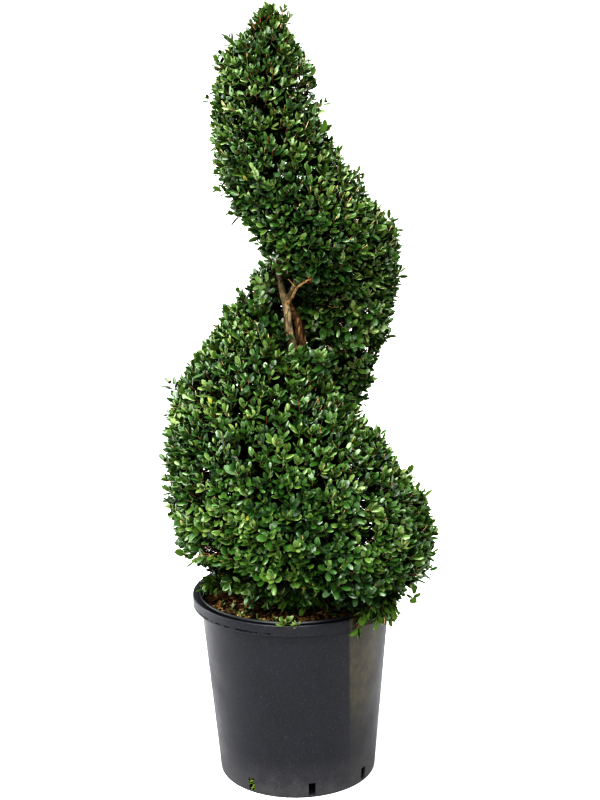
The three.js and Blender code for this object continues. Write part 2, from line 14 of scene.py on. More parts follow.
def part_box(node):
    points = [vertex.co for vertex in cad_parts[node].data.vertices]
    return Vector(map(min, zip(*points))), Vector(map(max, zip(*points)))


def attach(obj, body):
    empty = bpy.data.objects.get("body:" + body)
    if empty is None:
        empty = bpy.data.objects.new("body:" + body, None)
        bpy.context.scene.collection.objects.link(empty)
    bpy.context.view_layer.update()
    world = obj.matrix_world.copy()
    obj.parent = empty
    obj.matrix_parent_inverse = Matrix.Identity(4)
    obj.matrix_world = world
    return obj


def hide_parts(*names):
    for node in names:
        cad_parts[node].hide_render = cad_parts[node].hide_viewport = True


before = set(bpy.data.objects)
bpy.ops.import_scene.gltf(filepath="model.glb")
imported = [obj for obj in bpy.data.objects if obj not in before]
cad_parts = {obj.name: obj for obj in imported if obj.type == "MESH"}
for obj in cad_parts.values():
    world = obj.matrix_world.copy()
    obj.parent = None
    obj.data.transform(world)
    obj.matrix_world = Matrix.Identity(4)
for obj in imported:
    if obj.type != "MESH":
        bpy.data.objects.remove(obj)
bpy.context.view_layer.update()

bl_info = {
    "name": "Box Spiral in a Pot",
    "version": (1, 0, 0),
    "blender": (4, 5, 0),
    "location": "View3D > Sidebar > Topiary",
    "description": "A clipped box spiral with its stems, shoots and leaves, in a nursery pot",
    "category": "Object",
}

BODY = "root"
UP = np.array([0.0, 0.0, 1.0])
MM = 0.001
# A direction this close to upright takes its cross directions from X
NEAR_UPRIGHT = 0.9

# Pot, from the node's own box
POT_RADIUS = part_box("pot")[1].x
POT_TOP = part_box("pot")[1].z
BEAD_RISE = 2 * MM
LEDGE_TOP = POT_TOP - BEAD_RISE
BASE_RADIUS = 146 * MM
MOUTH_RADIUS = 177 * MM
# Edges flatter than this many degrees are shaded smooth
POT_SMOOTH = 32
SLOT = {"count": 8, "width": 12 * MM, "foot": 5 * MM, "height": 24 * MM, "turn": 10.0, "deep": 9 * MM}
# Moss: the slot's turn, and in millimetres its strands' places across and up the slot and their lengths
MOSS = {
    "slot": -35.0, "seed": 5, "count": 42, "depth": 3 * MM, "across": (-5.4, 5.4), "height": (0.5, 22),
    "turn": 0.45, "length": (3, 7), "bend": 0.6 * MM, "sides": 4,
    "radii": (0.99 * MM, 0.77 * MM, 0.275 * MM),
}

# Soil, from the node's own box
SOIL_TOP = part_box("soil")[1].z
SOIL_DEPTH = 60 * MM
SOIL = {
    "rings": 44, "sides": 144, "gap": 2.2 * MM, "core": 3 * MM, "taper": 5 * MM, "sunk": 1 * MM,
    "fineness": 55, "smooth": 50,
}
SOIL_GRAIN = {"H": 0.9, "lacunarity": 2.1, "octaves": 5}
CHIP_TONES = ("chip_dark", "chip_brown", "chip_rust", "chip_tan")
CHIP_SHARES = (0.28, 0.34, 0.24, 0.14)
# Chips: their reach, the spread of their sizes and shapes, how flat they lie, and their height in millimetres
CHIP = {
    "seed": 8, "rim_gap": 9 * MM, "size": (-0.15, 0.45), "height": (-1.5, 4.5), "level": 0.35, "tilt": 0.5,
    "corners": (0.55, 1.1), "width": (0.14, 0.3), "thickness": 0.07, "least": 0.3 * MM,
}

# Clipped outline: its radius and its middle's sideways place, each at a height
OUTLINE_RADIUS = (
    (0.360, 0.192), (0.450, 0.231), (0.600, 0.234), (0.800, 0.218), (0.980, 0.202),
    (1.130, 0.133), (1.230, 0.102), (1.310, 0.082), (1.370, 0.038), (1.406, 0.004),
)
OUTLINE_MIDDLE = (
    (0.380, 0.038), (0.600, 0.005), (0.800, 0.009), (1.000, 0.002), (1.200, -0.026), (1.330, -0.034),
    (1.400, -0.027),
)
FOLIAGE_FOOT = 0.372
FOOT_EDGE = {"height": 0.060, "start": 0.35, "roundness": 2.0}

# Groove cut round the outline: the height of its bed at each band angle, and its two flanks
GROOVE_BED = (
    (-90, 1.420), (0, 1.276), (90, 1.110), (180, 0.988), (270, 0.888), (360, 0.770), (450, 0.240),
)
GROOVE_START = -60.0
GROOVE_FULL = 60.0
GROOVE_RUNOUT = 0.150
UPPER_FLANK = {"clear": 0.039, "height": 0.210, "roundness": 1.42}
LOWER_FLANK = {"clear": 0.085, "height": 0.198, "roundness": 1.3}
HOLLOW_RADIUS = ((0.370, 0.062), (0.760, 0.060), (0.860, 0.050), (0.960, 0.040), (1.300, 0.026))

# Foliage masses: sectors of the band between two band angles, under one crown tip
CROWN_SPLIT = 1.300
MASSES = (
    {"name": "upper_back", "from": 20, "to": 120, "bough": "trunk"},
    {"name": "upper_left", "from": 120, "to": 210, "bough": "trunk"},
    {"name": "upper_front", "from": 210, "to": 300, "bough": "trunk", "bearing": 290, "joins": 0.893},
    {"name": "upper_right", "from": 300, "to": 380, "bough": "trunk"},
    {"name": "middle_back", "from": 380, "to": 480, "bough": "rear_stem", "bearing": 430, "joins": 0.800},
    {"name": "lower_left", "from": 480, "to": 570, "bough": "trunk"},
    {"name": "lower_front", "from": 570, "to": 660, "bough": "trunk"},
    {"name": "lower_right", "from": 660, "to": 732, "bough": "trunk"},
    {"name": "lower_tail", "from": 732, "to": 766, "bough": "rear_stem"},
)
# The clipped core of each solid lies this far under its surface, which sets where its bough ends
CORE = {"inset": 0.032, "share": 0.36, "lift": 0.6, "lift_share": 0.22}
# Rows of shoots: points on a section of the surface, degrees to a sector, and how unevenly they stand
SECTION_POINTS = 61
SECTOR = 6.0
ROW_NUDGE = 0.9
# Steps of the angle and of the share that a surface's direction is measured over
HALF_DEGREE = 0.5
SLOPE_STEPS = {"shell": 0.004, "tip": 0.01}

# Stems: places (x, y, z, radius)
TRUNK = (
    (0.014, 0.000, 0.3264, 0.0270), (0.016, 0.000, 0.352, 0.0190), (0.022, 0.004, 0.450, 0.0165),
    (0.024, 0.006, 0.600, 0.0140), (0.014, 0.000, 0.740, 0.0106), (0.004, -0.004, 0.808, 0.0084),
    (-0.002, -0.004, 0.842, 0.0077), (-0.004, -0.004, 0.868, 0.0075), (-0.008, -0.004, 0.893, 0.0071),
    (-0.017, -0.003, 0.938, 0.0058), (-0.022, 0.000, 1.050, 0.0052), (-0.023, 0.002, 1.200, 0.0040),
    (-0.025, 0.000, 1.288, 0.0032),
)
REAR_STEM = (
    (0.046, 0.035, 0.3264, 0.0130), (0.044, 0.036, 0.400, 0.0115), (0.041, 0.036, 0.560, 0.0105),
    (0.036, 0.031, 0.690, 0.0098), (0.027, 0.026, 0.762, 0.0096), (0.0195, 0.024, 0.806, 0.0094),
    (0.016, 0.022, 0.846, 0.0085), (0.009, 0.014, 0.868, 0.0070), (-0.003, 0.003, 0.888, 0.0050),
)
# The forked twig in front of the trunk, and the broken stub near the crown, as places too
FORKS = (
    ((-0.004, -0.008, 0.887, 0.0036), (0.006, -0.030, 0.904, 0.0030), (0.014, -0.050, 0.9216, 0.0026),
     (0.037, -0.080, 0.9415, 0.0020), (0.062, -0.086, 0.951, 0.0014)),
    ((0.014, -0.050, 0.9216, 0.0020), (0.006, -0.062, 0.932, 0.0016), (-0.001, -0.070, 0.9404, 0.0012)),
)
STUB = ((-0.034, -0.006, 1.325, 0.0030), (-0.029, -0.050, 1.312, 0.0030), (-0.021, -0.078, 1.293, 0.0032))
# Places in front of the fork and the bare stems that leaves keep clear of: start, end, radius
CLEARINGS = (
    ((-0.010, -0.010, 0.905), (-0.010, -0.120, 0.926), 0.010),
    ((-0.004, -0.010, 0.885), (-0.004, -0.120, 0.906), 0.013),
    ((0.006, -0.040, 0.908), (0.007, -0.130, 0.926), 0.012),
    ((0.014, -0.052, 0.922), (0.015, -0.130, 0.938), 0.013),
    ((0.032, -0.074, 0.938), (0.033, -0.140, 0.952), 0.010),
    ((0.002, -0.050, 0.936), (0.002, -0.130, 0.952), 0.008),
    ((-0.002, -0.012, 0.852), (-0.002, -0.110, 0.872), 0.012),
    ((0.012, 0.010, 0.835), (0.012, -0.100, 0.857), 0.010),
    ((0.015, 0.010, 0.815), (0.015, -0.090, 0.835), 0.009),
)
# Where the photo shows the sky through the foliage: column and row in its pixels, and the gap's radius
SKY_PLACES = (
    (204, 471, 9 * MM), (197, 555, 9 * MM), (207, 549, 11 * MM), (217, 553, 9 * MM), (232, 556, 8 * MM),
    (316, 308, 8 * MM), (342, 323, 9 * MM), (351, 329, 9 * MM), (368, 311, 8 * MM), (366, 348, 7 * MM),
    (256, 498, 6 * MM), (299, 505, 6 * MM), (281, 506, 6 * MM),
)
SKY_REACH = 0.250
# The photo's size in pixels, and the camera that was fitted to it
PHOTO = {"width": 600, "height": 800}
SENSOR = 36.0
CAMERA = {"side": 0.0158, "distance": 2.628, "height": 1.292, "pitch": 12.49, "roll": -1.0, "lens": 66.84}
# Boughs: thick near the soil and thinner higher up, rising to the hollow's wall with a slight sag
BOUGH = {
    "low_radius": 0.0065, "high_radius": 0.0040, "low": 0.400, "high": 1.000,
    "taper": 0.6, "rise": 0.055, "sag": 0.007, "place": 0.45, "bare": 0.009,
}

# Leaf blades: the edge's points from root to tip and back, any on the midrib, any inside the edge, then
# one underneath. Each is (along, across, fold, rise) as shares of the length, half width, fold and length.
EDGE = (
    (0.00, 0.00, 0.0, 0.0), (0.24, 0.74, 1.0, 0.0), (0.58, 1.00, 1.0, 0.0), (0.88, 0.62, 1.0, 0.0),
    (0.99, 0.00, 0.3, 0.0), (0.88, -0.62, 1.0, 0.0), (0.58, -1.00, 1.0, 0.0), (0.24, -0.74, 1.0, 0.0),
)
MIDRIB = ((0.30, 0.00, 0.0, 0.0), (0.72, 0.00, 0.0, 0.0))
UNDER_POINT = ((0.50, 0.00, 0.0, -0.06),)
RIMMED_BLADE = {
    "edge": 8,
    "points": np.array(EDGE + MIDRIB + (
        (0.28, 0.56, 0.76, 0.02), (0.60, 0.78, 0.78, 0.035), (0.82, 0.44, 0.70, 0.02),
        (0.82, -0.44, 0.70, 0.02), (0.60, -0.78, 0.78, 0.035), (0.28, -0.56, 0.76, 0.02),
    ) + UNDER_POINT),
    "top": [
        (0, 8, 10), (10, 8, 11), (11, 8, 9), (11, 9, 12), (12, 9, 4),
        (0, 15, 8), (15, 14, 8), (14, 9, 8), (14, 13, 9), (13, 4, 9),
    ],
    "rim": [
        (0, 10, 1), (1, 10, 11), (1, 11, 2), (2, 11, 12), (2, 12, 3), (3, 12, 4),
        (0, 7, 15), (7, 14, 15), (7, 6, 14), (6, 13, 14), (6, 5, 13), (5, 4, 13),
    ],
}
OPEN_BLADE = {
    "edge": 8,
    "points": np.array(EDGE + MIDRIB + UNDER_POINT),
    "top": [
        (0, 8, 1), (1, 8, 2), (2, 8, 9), (2, 9, 3), (3, 9, 4),
        (0, 7, 8), (7, 6, 8), (6, 9, 8), (6, 5, 9), (5, 4, 9),
    ],
    "rim": [],
}
DEEP_BLADE = {
    "edge": 6,
    "points": np.array((
        (0.00, 0.00, 0.0, 0.0), (0.35, 0.92, 1.0, 0.0), (0.80, 0.80, 1.0, 0.0), (0.98, 0.00, 0.3, 0.0),
        (0.80, -0.80, 1.0, 0.0), (0.35, -0.92, 1.0, 0.0), (0.50, 0.00, 1.0, -0.06),
    )),
    "top": [(0, 5, 1), (1, 5, 2), (2, 5, 4), (2, 4, 3)],
    "rim": [],
}
BLADES = (RIMMED_BLADE, OPEN_BLADE, DEEP_BLADE)
RIMMED, OPEN, DEEP = range(len(BLADES))
# Only the outermost pairs have the blade with a rim, and most of their rims are one tone paler: a painted
# highlight along the edge
RIMMED_PAIRS = 2
PAINTED_RIM_HIGHLIGHTS = 0.75
WIDTH_SPREAD = 0.08
# The first four tones run from deep to pale
LEAF_TONES = (
    "leaf_deep", "leaf_mid", "leaf_fresh", "leaf_pale", "leaf_yellow", "leaf_under", "leaf_shade",
    "leaf_shade_under",
)
TWIG_TONES = ("twig_red", "twig_tan", "twig_green", "cut_wood", "twig_old_and_shade")

# Leaf pairs down a shoot from its tip: distance, share of the leaf length, angle to the shoot
PAIRS = (
    (0.0010, 0.70, 22.0), (0.0075, 0.94, 36.0), (0.0150, 1.02, 46.0),
    (0.0240, 1.02, 56.0), (0.0345, 1.00, 66.0), (0.0460, 1.00, 72.0),
)
# For each pair, the share of its leaves that are there and the share that are one tone fresher
KEPT = (1.0, 1.0, 0.97, 0.85, 0.62, 0.4)
FRESHER = (0.5, 0.25, 0.08, 0.0, 0.0, 0.0)
# Pairs from this one on are in the crown's own shade and take near-black leaves as painted shade, and a rare
# leaf further out turns yellow
SHADED_FROM = 3
YELLOW_SHARE = 0.0016
# A leaf's length at a height, as a share of the middling one
LEAF_SHARE = ((0.35, 1.08), (0.80, 1.00), (1.10, 0.90), (1.35, 0.84))
# A blade's fold up at its edges and its curl back at its tip: mean and spread, as shares of its length
FOLD = (-0.03, 0.08)
CURL = (0.09, 0.09)


# Sizes and colours that a user would change


class PotSettings(bpy.types.PropertyGroup):
    """Sizes and colours of the nursery pot."""

    wall: FloatProperty(name="Wall", description="Thickness of the wall", default=3 * MM, unit="LENGTH")
    skirt: FloatProperty(name="Skirt", description="Height of the skirt", default=21 * MM, unit="LENGTH")
    sides: IntProperty(name="Sides", description="Sides of the round pot", default=192, min=48)
    colour: StringProperty(name="Plastic", description="Plastic's colour, sRGB hex", default="111218")
    dust: StringProperty(name="Dust", description="Colour of dried dust, sRGB hex", default="6c6b6a")
    stain: StringProperty(name="Stain", description="Colour of the water stain, sRGB hex", default="565038")


class SoilSettings(bpy.types.PropertyGroup):
    """Sizes and colours of the compost."""

    chips: IntProperty(name="Chips", description="Number of bark chips", default=3000, min=0)
    chip_length: FloatProperty(
        name="Chip", description="Length of a middling bark chip", default=11 * MM, unit="LENGTH"
    )
    relief: FloatProperty(name="Relief", description="Height of the lumps", default=6 * MM, unit="LENGTH")
    colour: StringProperty(name="Compost", description="Compost's colour, sRGB hex", default="4a3826")


class StemSettings(bpy.types.PropertyGroup):
    """Sizes and colours of the trunk, the rear stem and the boughs."""

    ring_step: FloatProperty(
        name="Ring step", description="Distance between rings of the bark", default=3.5 * MM, unit="LENGTH"
    )
    trunk_colour: StringProperty(name="Trunk", description="Trunk's bark, sRGB hex", default="665c46")
    rear_colour: StringProperty(name="Rear stem", description="Rear stem's bark, sRGB hex", default="826a48")
    seed: IntProperty(name="Seed", description="Seed of the bark's relief", default=3)


class FoliageSettings(bpy.types.PropertyGroup):
    """Sizes of the shoots and the leaves."""

    spacing: FloatProperty(name="Spacing", description="Gap between shoots", default=17 * MM, unit="LENGTH")
    hub_spacing: FloatProperty(
        name="Hub spacing", description="Distance between the ends of branches", default=87 * MM,
        unit="LENGTH",
    )
    shoot: FloatProperty(name="Shoot", description="Length of a shoot", default=50 * MM, unit="LENGTH")
    leaf: FloatProperty(name="Leaf", description="Length of a leaf", default=18.5 * MM, unit="LENGTH")
    leaf_width: FloatProperty(name="Leaf width", description="Width as a share of the length", default=0.52)
    twig: FloatProperty(name="Twig", description="Radius of a twig", default=0.9 * MM, unit="LENGTH")
    seed: IntProperty(name="Seed", description="Seed of the growth", default=11)


class StageSettings(bpy.types.PropertyGroup):
    """Camera, lights and floor."""

    distance: FloatProperty(
        name="Distance", description="Camera's distance", default=CAMERA["distance"], unit="LENGTH"
    )
    height: FloatProperty(
        name="Height", description="Camera's height", default=CAMERA["height"], unit="LENGTH"
    )
    side: FloatProperty(
        name="Side", description="Camera's place to the right", default=CAMERA["side"], unit="LENGTH"
    )
    pitch: FloatProperty(
        name="Pitch", description="Camera's tilt", default=math.radians(CAMERA["pitch"]), subtype="ANGLE"
    )
    roll: FloatProperty(
        name="Roll", description="Camera's roll", default=math.radians(CAMERA["roll"]), subtype="ANGLE"
    )
    lens: FloatProperty(name="Lens", description="Focal length in millimetres", default=CAMERA["lens"])
    sky: FloatProperty(name="Sky", description="Strength of the surroundings overhead", default=1.1)
    overhead: FloatProperty(name="Overhead", description="Strength of the overhead diffuser", default=5.0)
    sides: FloatProperty(name="Sides", description="Power of the left softbox", default=54.0, unit="POWER")
    front: FloatProperty(name="Front", description="Power of the front fill", default=84.0, unit="POWER")


# Colours, nodes and materials


def linear(hex_code):
    """The linear RGBA of an sRGB hex colour."""
    shares = [int(hex_code[i:i + 2], 16) / 255 for i in (0, 2, 4)]
    return [s / 12.92 if s <= 0.04045 else ((s + 0.055) / 1.055) ** 2.4 for s in shares] + [1.0]


def add(tree, kind, inputs=(), stops=(), **settings):
    """A node with its settings: inputs take a value or another node's output, stops fill its ramp."""
    made = tree.nodes.new(kind)
    for name, value in settings.items():
        setattr(made, name, value)
    for place, colour in stops:
        made.color_ramp.elements.new(place).color = colour
    if stops:
        made.color_ramp.elements.remove(made.color_ramp.elements[0])
        made.color_ramp.elements.remove(made.color_ramp.elements[-1])
    for key, value in dict(inputs).items():
        if isinstance(value, bpy.types.NodeSocket):
            tree.links.new(value, made.inputs[key])
        else:
            made.inputs[key].default_value = value
    return made


def new_material(name, **sockets):
    """A material with one Principled shader: its tree and the shader."""
    made = bpy.data.materials.new(name)
    made.use_nodes = True
    shader = made.node_tree.nodes["Principled BSDF"]
    for key, value in sockets.items():
        shader.inputs[key.replace("_", " ")].default_value = value
    return made, made.node_tree, shader


def grey(value):
    """An opaque grey for a ramp that steers a mix."""
    return (value, value, value, 1.0)


def dimmed(colour, share):
    """A colour made darker or lighter by a share."""
    return [c * share for c in colour[:3]] + [1]


# Marks on the pot: dust from its foot up, a dried stain, and painted shade in a broken groove round the
# skirt. The stain grows along each axis between two places, from a least share to all of it
DUST = {"height": 75 * MM, "strength": 0.26, "loose": 0.16}
STAIN_EDGES = (("X", 0.094, 0.099, 0.0), ("Y", -0.06, -0.10, 0.0), ("Z", 0.08, 0.22, 0.15))
STAIN_STRENGTH = 0.44
# The broken groove round the skirt: its height and half width, where it fades out, the near-black of its
# painted shade, and the shine of the rest of the wall, which the groove loses
SKIRT_GROOVE_SHADE = {"height": 0.3335, "half_width": 1.0 * MM, "fades_to": -0.03, "colour": "050505", "shine": 0.44}


def pot_plastic(settings):
    """Moulded polypropylene: satin charcoal with fine grain, scuffs, a dusty foot, a dried water stain and
    painted shade in a broken groove round the skirt.
    """
    made, tree, shader = new_material("moulded_polypropylene", Roughness=0.42, IOR=1.49)
    place = add(tree, "ShaderNodeTexCoord").outputs["Object"]
    apart = add(tree, "ShaderNodeSeparateXYZ", {"Vector": place})
    clouds = add(
        tree, "ShaderNodeTexNoise",
        {"Vector": place, "Scale": 14.0, "Detail": 6.0, "Roughness": 0.6},
    )
    base = linear(settings.colour)
    tint = add(
        tree, "ShaderNodeValToRGB", {"Fac": clouds.outputs["Fac"]},
        stops=((0.3, dimmed(base, 0.82)), (0.7, dimmed(base, 1.22))),
    )
    # Patchy dust fades out over the pot's foot, and fine grit lies all over the wall
    low = add(
        tree, "ShaderNodeMapRange",
        {"Value": apart.outputs["Z"], "From Min": 0.0, "From Max": DUST["height"],
         "To Min": DUST["strength"], "To Max": 0.0},
    )
    specks = add(tree, "ShaderNodeTexNoise", {"Vector": place, "Scale": 420.0, "Detail": 4.0})
    grit = add(
        tree, "ShaderNodeValToRGB", {"Fac": specks.outputs["Fac"]},
        stops=((0.56, grey(0.0)), (0.72, grey(1.0))),
    )
    patches = add(
        tree, "ShaderNodeTexNoise",
        {"Vector": place, "Scale": 46.0, "Detail": 6.0, "Roughness": 0.75},
    )
    drift = add(
        tree, "ShaderNodeValToRGB", {"Fac": patches.outputs["Fac"]},
        stops=((0.36, grey(0.35)), (0.66, grey(1.0))),
    )
    foot_dust = add(
        tree, "ShaderNodeMath", {0: low.outputs["Result"], 1: drift.outputs["Color"]}, operation="MULTIPLY"
    )
    loose = add(tree, "ShaderNodeMath", {0: grit.outputs["Color"], 1: DUST["loose"]}, operation="MULTIPLY")
    dusty = add(
        tree, "ShaderNodeMath", {0: foot_dust.outputs["Value"], 1: loose.outputs["Value"]},
        operation="ADD", use_clamp=True,
    )
    powdered = add(
        tree, "ShaderNodeMix",
        {0: dusty.outputs["Value"], 6: tint.outputs["Color"], 7: linear(settings.dust)}, data_type="RGBA",
    )
    # The stain is one soft-edged sheet down the right front of the wall
    sheets = [
        add(
            tree, "ShaderNodeMapRange",
            {"Value": apart.outputs[axis], "From Min": start, "From Max": stop,
             "To Min": least, "To Max": 1.0},
            interpolation_type="SMOOTHSTEP",
        ).outputs["Result"]
        for axis, start, stop, least in STAIN_EDGES
    ]
    stain = sheets[0]
    for share in (*sheets[1:], drift.outputs["Color"], STAIN_STRENGTH):
        stain = add(tree, "ShaderNodeMath", {0: stain, 1: share}, operation="MULTIPLY").outputs["Value"]
    stained = add(
        tree, "ShaderNodeMix", {0: stain, 6: powdered.outputs[2], 7: linear(settings.stain)}, data_type="RGBA"
    )
    # A broken line of painted shade, near-black and without shine, runs round the left front of the skirt
    # along a dip in the relief
    line = add(
        tree, "ShaderNodeMath", {0: apart.outputs["Z"], 1: SKIRT_GROOVE_SHADE["height"], 2: SKIRT_GROOVE_SHADE["half_width"]},
        operation="COMPARE",
    )
    breaks = add(tree, "ShaderNodeTexNoise", {"Vector": place, "Scale": 120.0, "Detail": 4.0})
    gaps = add(
        tree, "ShaderNodeValToRGB", {"Fac": breaks.outputs["Fac"]},
        stops=((0.47, grey(0.0)), (0.53, grey(0.9))),
    )
    left = add(
        tree, "ShaderNodeMapRange",
        {"Value": apart.outputs["X"], "From Min": 0.0, "From Max": SKIRT_GROOVE_SHADE["fades_to"],
         "To Min": 0.0, "To Max": 1.0},
    )
    groove_shade = line.outputs["Value"]
    for share in (gaps.outputs["Color"], left.outputs["Result"]):
        groove_shade = add(tree, "ShaderNodeMath", {0: groove_shade, 1: share}, operation="MULTIPLY").outputs["Value"]
    groove_shaded = add(
        tree, "ShaderNodeMix", {0: groove_shade, 6: stained.outputs[2], 7: linear(SKIRT_GROOVE_SHADE["colour"])}, data_type="RGBA"
    )
    tree.links.new(groove_shaded.outputs[2], shader.inputs["Base Color"])
    dull = add(tree, "ShaderNodeMapRange", {"Value": groove_shade, "To Min": SKIRT_GROOVE_SHADE["shine"], "To Max": 0.0})
    tree.links.new(dull.outputs["Result"], shader.inputs["Specular IOR Level"])
    # Scuffs: thin slanting scratches in the relief
    turned = add(
        tree, "ShaderNodeMapping",
        {"Vector": place, "Rotation": (0.5, 0.3, 0.9), "Scale": (260.0, 30.0, 18.0)},
    )
    strokes = add(
        tree, "ShaderNodeTexNoise",
        {"Vector": turned.outputs["Vector"], "Scale": 1.0, "Detail": 2.0},
    )
    thin = add(
        tree, "ShaderNodeValToRGB", {"Fac": strokes.outputs["Fac"]},
        stops=((0.68, grey(0.0)), (0.76, grey(1.0))),
    )
    rough = add(
        tree, "ShaderNodeMapRange",
        {"Value": clouds.outputs["Fac"], "From Min": 0.3, "From Max": 0.7, "To Min": 0.36, "To Max": 0.52},
    )
    rougher = add(
        tree, "ShaderNodeMath", {0: rough.outputs["Result"], 1: dusty.outputs["Value"]}, operation="ADD",
        use_clamp=True,
    )
    tree.links.new(rougher.outputs["Value"], shader.inputs["Roughness"])
    grain = add(tree, "ShaderNodeTexNoise", {"Vector": place, "Scale": 900.0, "Detail": 2.0})
    lumps = add(
        tree, "ShaderNodeMath", {0: grain.outputs["Fac"], 1: thin.outputs["Color"]}, operation="ADD"
    )
    cuts = add(tree, "ShaderNodeMath", {0: lumps.outputs["Value"], 1: groove_shade}, operation="SUBTRACT")
    bump = add(
        tree, "ShaderNodeBump", {"Strength": 0.18, "Distance": 0.4 * MM, "Height": cuts.outputs["Value"]}
    )
    tree.links.new(bump.outputs["Normal"], shader.inputs["Normal"])
    return made


def compost(settings):
    """Damp bark compost: near-black crumbs with brown fibres."""
    made, tree, shader = new_material("bark_compost", Roughness=0.9, IOR=1.4)
    place = add(tree, "ShaderNodeTexCoord").outputs["Object"]
    crumbs = add(
        tree, "ShaderNodeTexNoise",
        {"Vector": place, "Scale": 240.0, "Detail": 6.0, "Roughness": 0.7},
    )
    base = linear(settings.colour)
    tint = add(
        tree, "ShaderNodeValToRGB", {"Fac": crumbs.outputs["Fac"]},
        stops=((0.36, dimmed(base, 0.35)), (0.55, base), (0.68, linear("8e6c44"))),
    )
    tree.links.new(tint.outputs["Color"], shader.inputs["Base Color"])
    bump = add(
        tree, "ShaderNodeBump", {"Strength": 0.9, "Distance": 2.5 * MM, "Height": crumbs.outputs["Fac"]}
    )
    tree.links.new(bump.outputs["Normal"], shader.inputs["Normal"])
    return made


# Each bark's pale and dark colours and the width of its cracks
BARKS = {
    "corky_box_bark": ("908268", "524632", 0.06),
    "flaky_box_bark": ("987a54", "402e1e", 0.22),
    "smooth_box_bark": ("ae9468", "604a32", 0.06),
}
YOUNG_BARK = "8c7452"


def bark(name, base_hex):
    """Box bark: thin and corky, with fine fissures along the limb, pale worn plates and dark cracks."""
    pale_hex, dark_hex, fissure = BARKS[name]
    made, tree, shader = new_material(name, Roughness=0.78, IOR=1.45)
    place = add(tree, "ShaderNodeTexCoord").outputs["Object"]
    long_way = add(tree, "ShaderNodeMapping", {"Vector": place, "Scale": (1.0, 1.0, 0.22)})
    fibres = add(
        tree, "ShaderNodeTexNoise",
        {"Vector": long_way.outputs["Vector"], "Scale": 420.0, "Detail": 6.0, "Roughness": 0.65},
    )
    plates = add(
        tree, "ShaderNodeTexVoronoi", {"Vector": long_way.outputs["Vector"], "Scale": 150.0},
        feature="DISTANCE_TO_EDGE",
    )
    crack = add(
        tree, "ShaderNodeValToRGB", {"Fac": plates.outputs["Distance"]},
        stops=((0.0, grey(0.0)), (fissure, grey(1.0))),
    )
    worn = add(tree, "ShaderNodeTexNoise", {"Vector": place, "Scale": 60.0, "Detail": 4.0})
    tint = add(
        tree, "ShaderNodeValToRGB", {"Fac": worn.outputs["Fac"]},
        stops=((0.36, linear(dark_hex)), (0.5, linear(base_hex)), (0.66, linear(pale_hex))),
    )
    streaks = add(
        tree, "ShaderNodeValToRGB", {"Fac": fibres.outputs["Fac"]},
        stops=((0.35, grey(0.70)), (0.62, grey(1.0))),
    )
    lined = add(
        tree, "ShaderNodeMix", {0: 1.0, 6: tint.outputs["Color"], 7: streaks.outputs["Color"]},
        data_type="RGBA", blend_type="MULTIPLY",
    )
    split = add(
        tree, "ShaderNodeMix", {0: crack.outputs["Color"], 6: linear(dark_hex), 7: lined.outputs[2]},
        data_type="RGBA",
    )
    tree.links.new(split.outputs[2], shader.inputs["Base Color"])
    height = add(
        tree, "ShaderNodeMath", {0: fibres.outputs["Fac"], 1: crack.outputs["Color"]}, operation="ADD"
    )
    bump = add(
        tree, "ShaderNodeBump", {"Strength": 0.7, "Distance": 1.2 * MM, "Height": height.outputs["Value"]}
    )
    tree.links.new(bump.outputs["Normal"], shader.inputs["Normal"])
    return made


# What each plain finish is, as colour, roughness and coat: leaves are waxy above and matt below
PLAIN_FINISHES = {
    "leaf_deep": ("263d1d", 0.42, 0.65),
    "leaf_mid": ("345023", 0.42, 0.65),
    "leaf_fresh": ("4a602e", 0.42, 0.55),
    "leaf_pale": ("647346", 0.45, 0.4),
    "leaf_yellow": ("7e7c3c", 0.5, 0.0),
    "leaf_under": ("46592a", 0.60, 0.0),
    # Near-black leaves deep in the crown, above and below, are painted shade
    "leaf_shade": ("101a0a", 0.6, 0.0),
    "leaf_shade_under": ("16200e", 0.8, 0.0),
    "twig_red": ("845844", 0.7, 0.0),
    "twig_tan": ("a48a66", 0.7, 0.0),
    "twig_green": ("6a723e", 0.6, 0.0),
    # Old bark, made darker still as painted shade inside the crown
    "twig_old_and_shade": ("3c3026", 0.85, 0.0),
    "cut_wood": ("c8a68a", 0.8, 0.0),
    "chip_dark": ("33261a", 0.85, 0.0),
    "chip_brown": ("5c4a34", 0.85, 0.0),
    "chip_rust": ("7c6444", 0.85, 0.0),
    "chip_tan": ("988660", 0.85, 0.0),
    "moss": ("6a7a3c", 0.9, 0.0),
}

# Specular level of the finishes without a coat of wax
MATT_SHINE = 0.15


def plain(name):
    """A plain finish by name, made once: many small pieces each take one colour of it."""
    if name in bpy.data.materials:
        return bpy.data.materials[name]
    colour, roughness, coat = PLAIN_FINISHES[name]
    made, _, _ = new_material(
        name, Base_Color=linear(colour), Roughness=roughness, IOR=1.45, Coat_Weight=coat, Coat_Roughness=0.34,
        Specular_IOR_Level=0.5 if coat else MATT_SHINE,
    )
    return made


# Modelling helpers


def deselect():
    """Nothing selected, in object mode."""
    if bpy.context.object and bpy.context.object.mode != "OBJECT":
        bpy.ops.object.mode_set(mode="OBJECT")
    bpy.ops.object.select_all(action="DESELECT")


def activate(piece):
    """Only this piece selected and active."""
    deselect()
    piece.select_set(True)
    bpy.context.view_layer.objects.active = piece


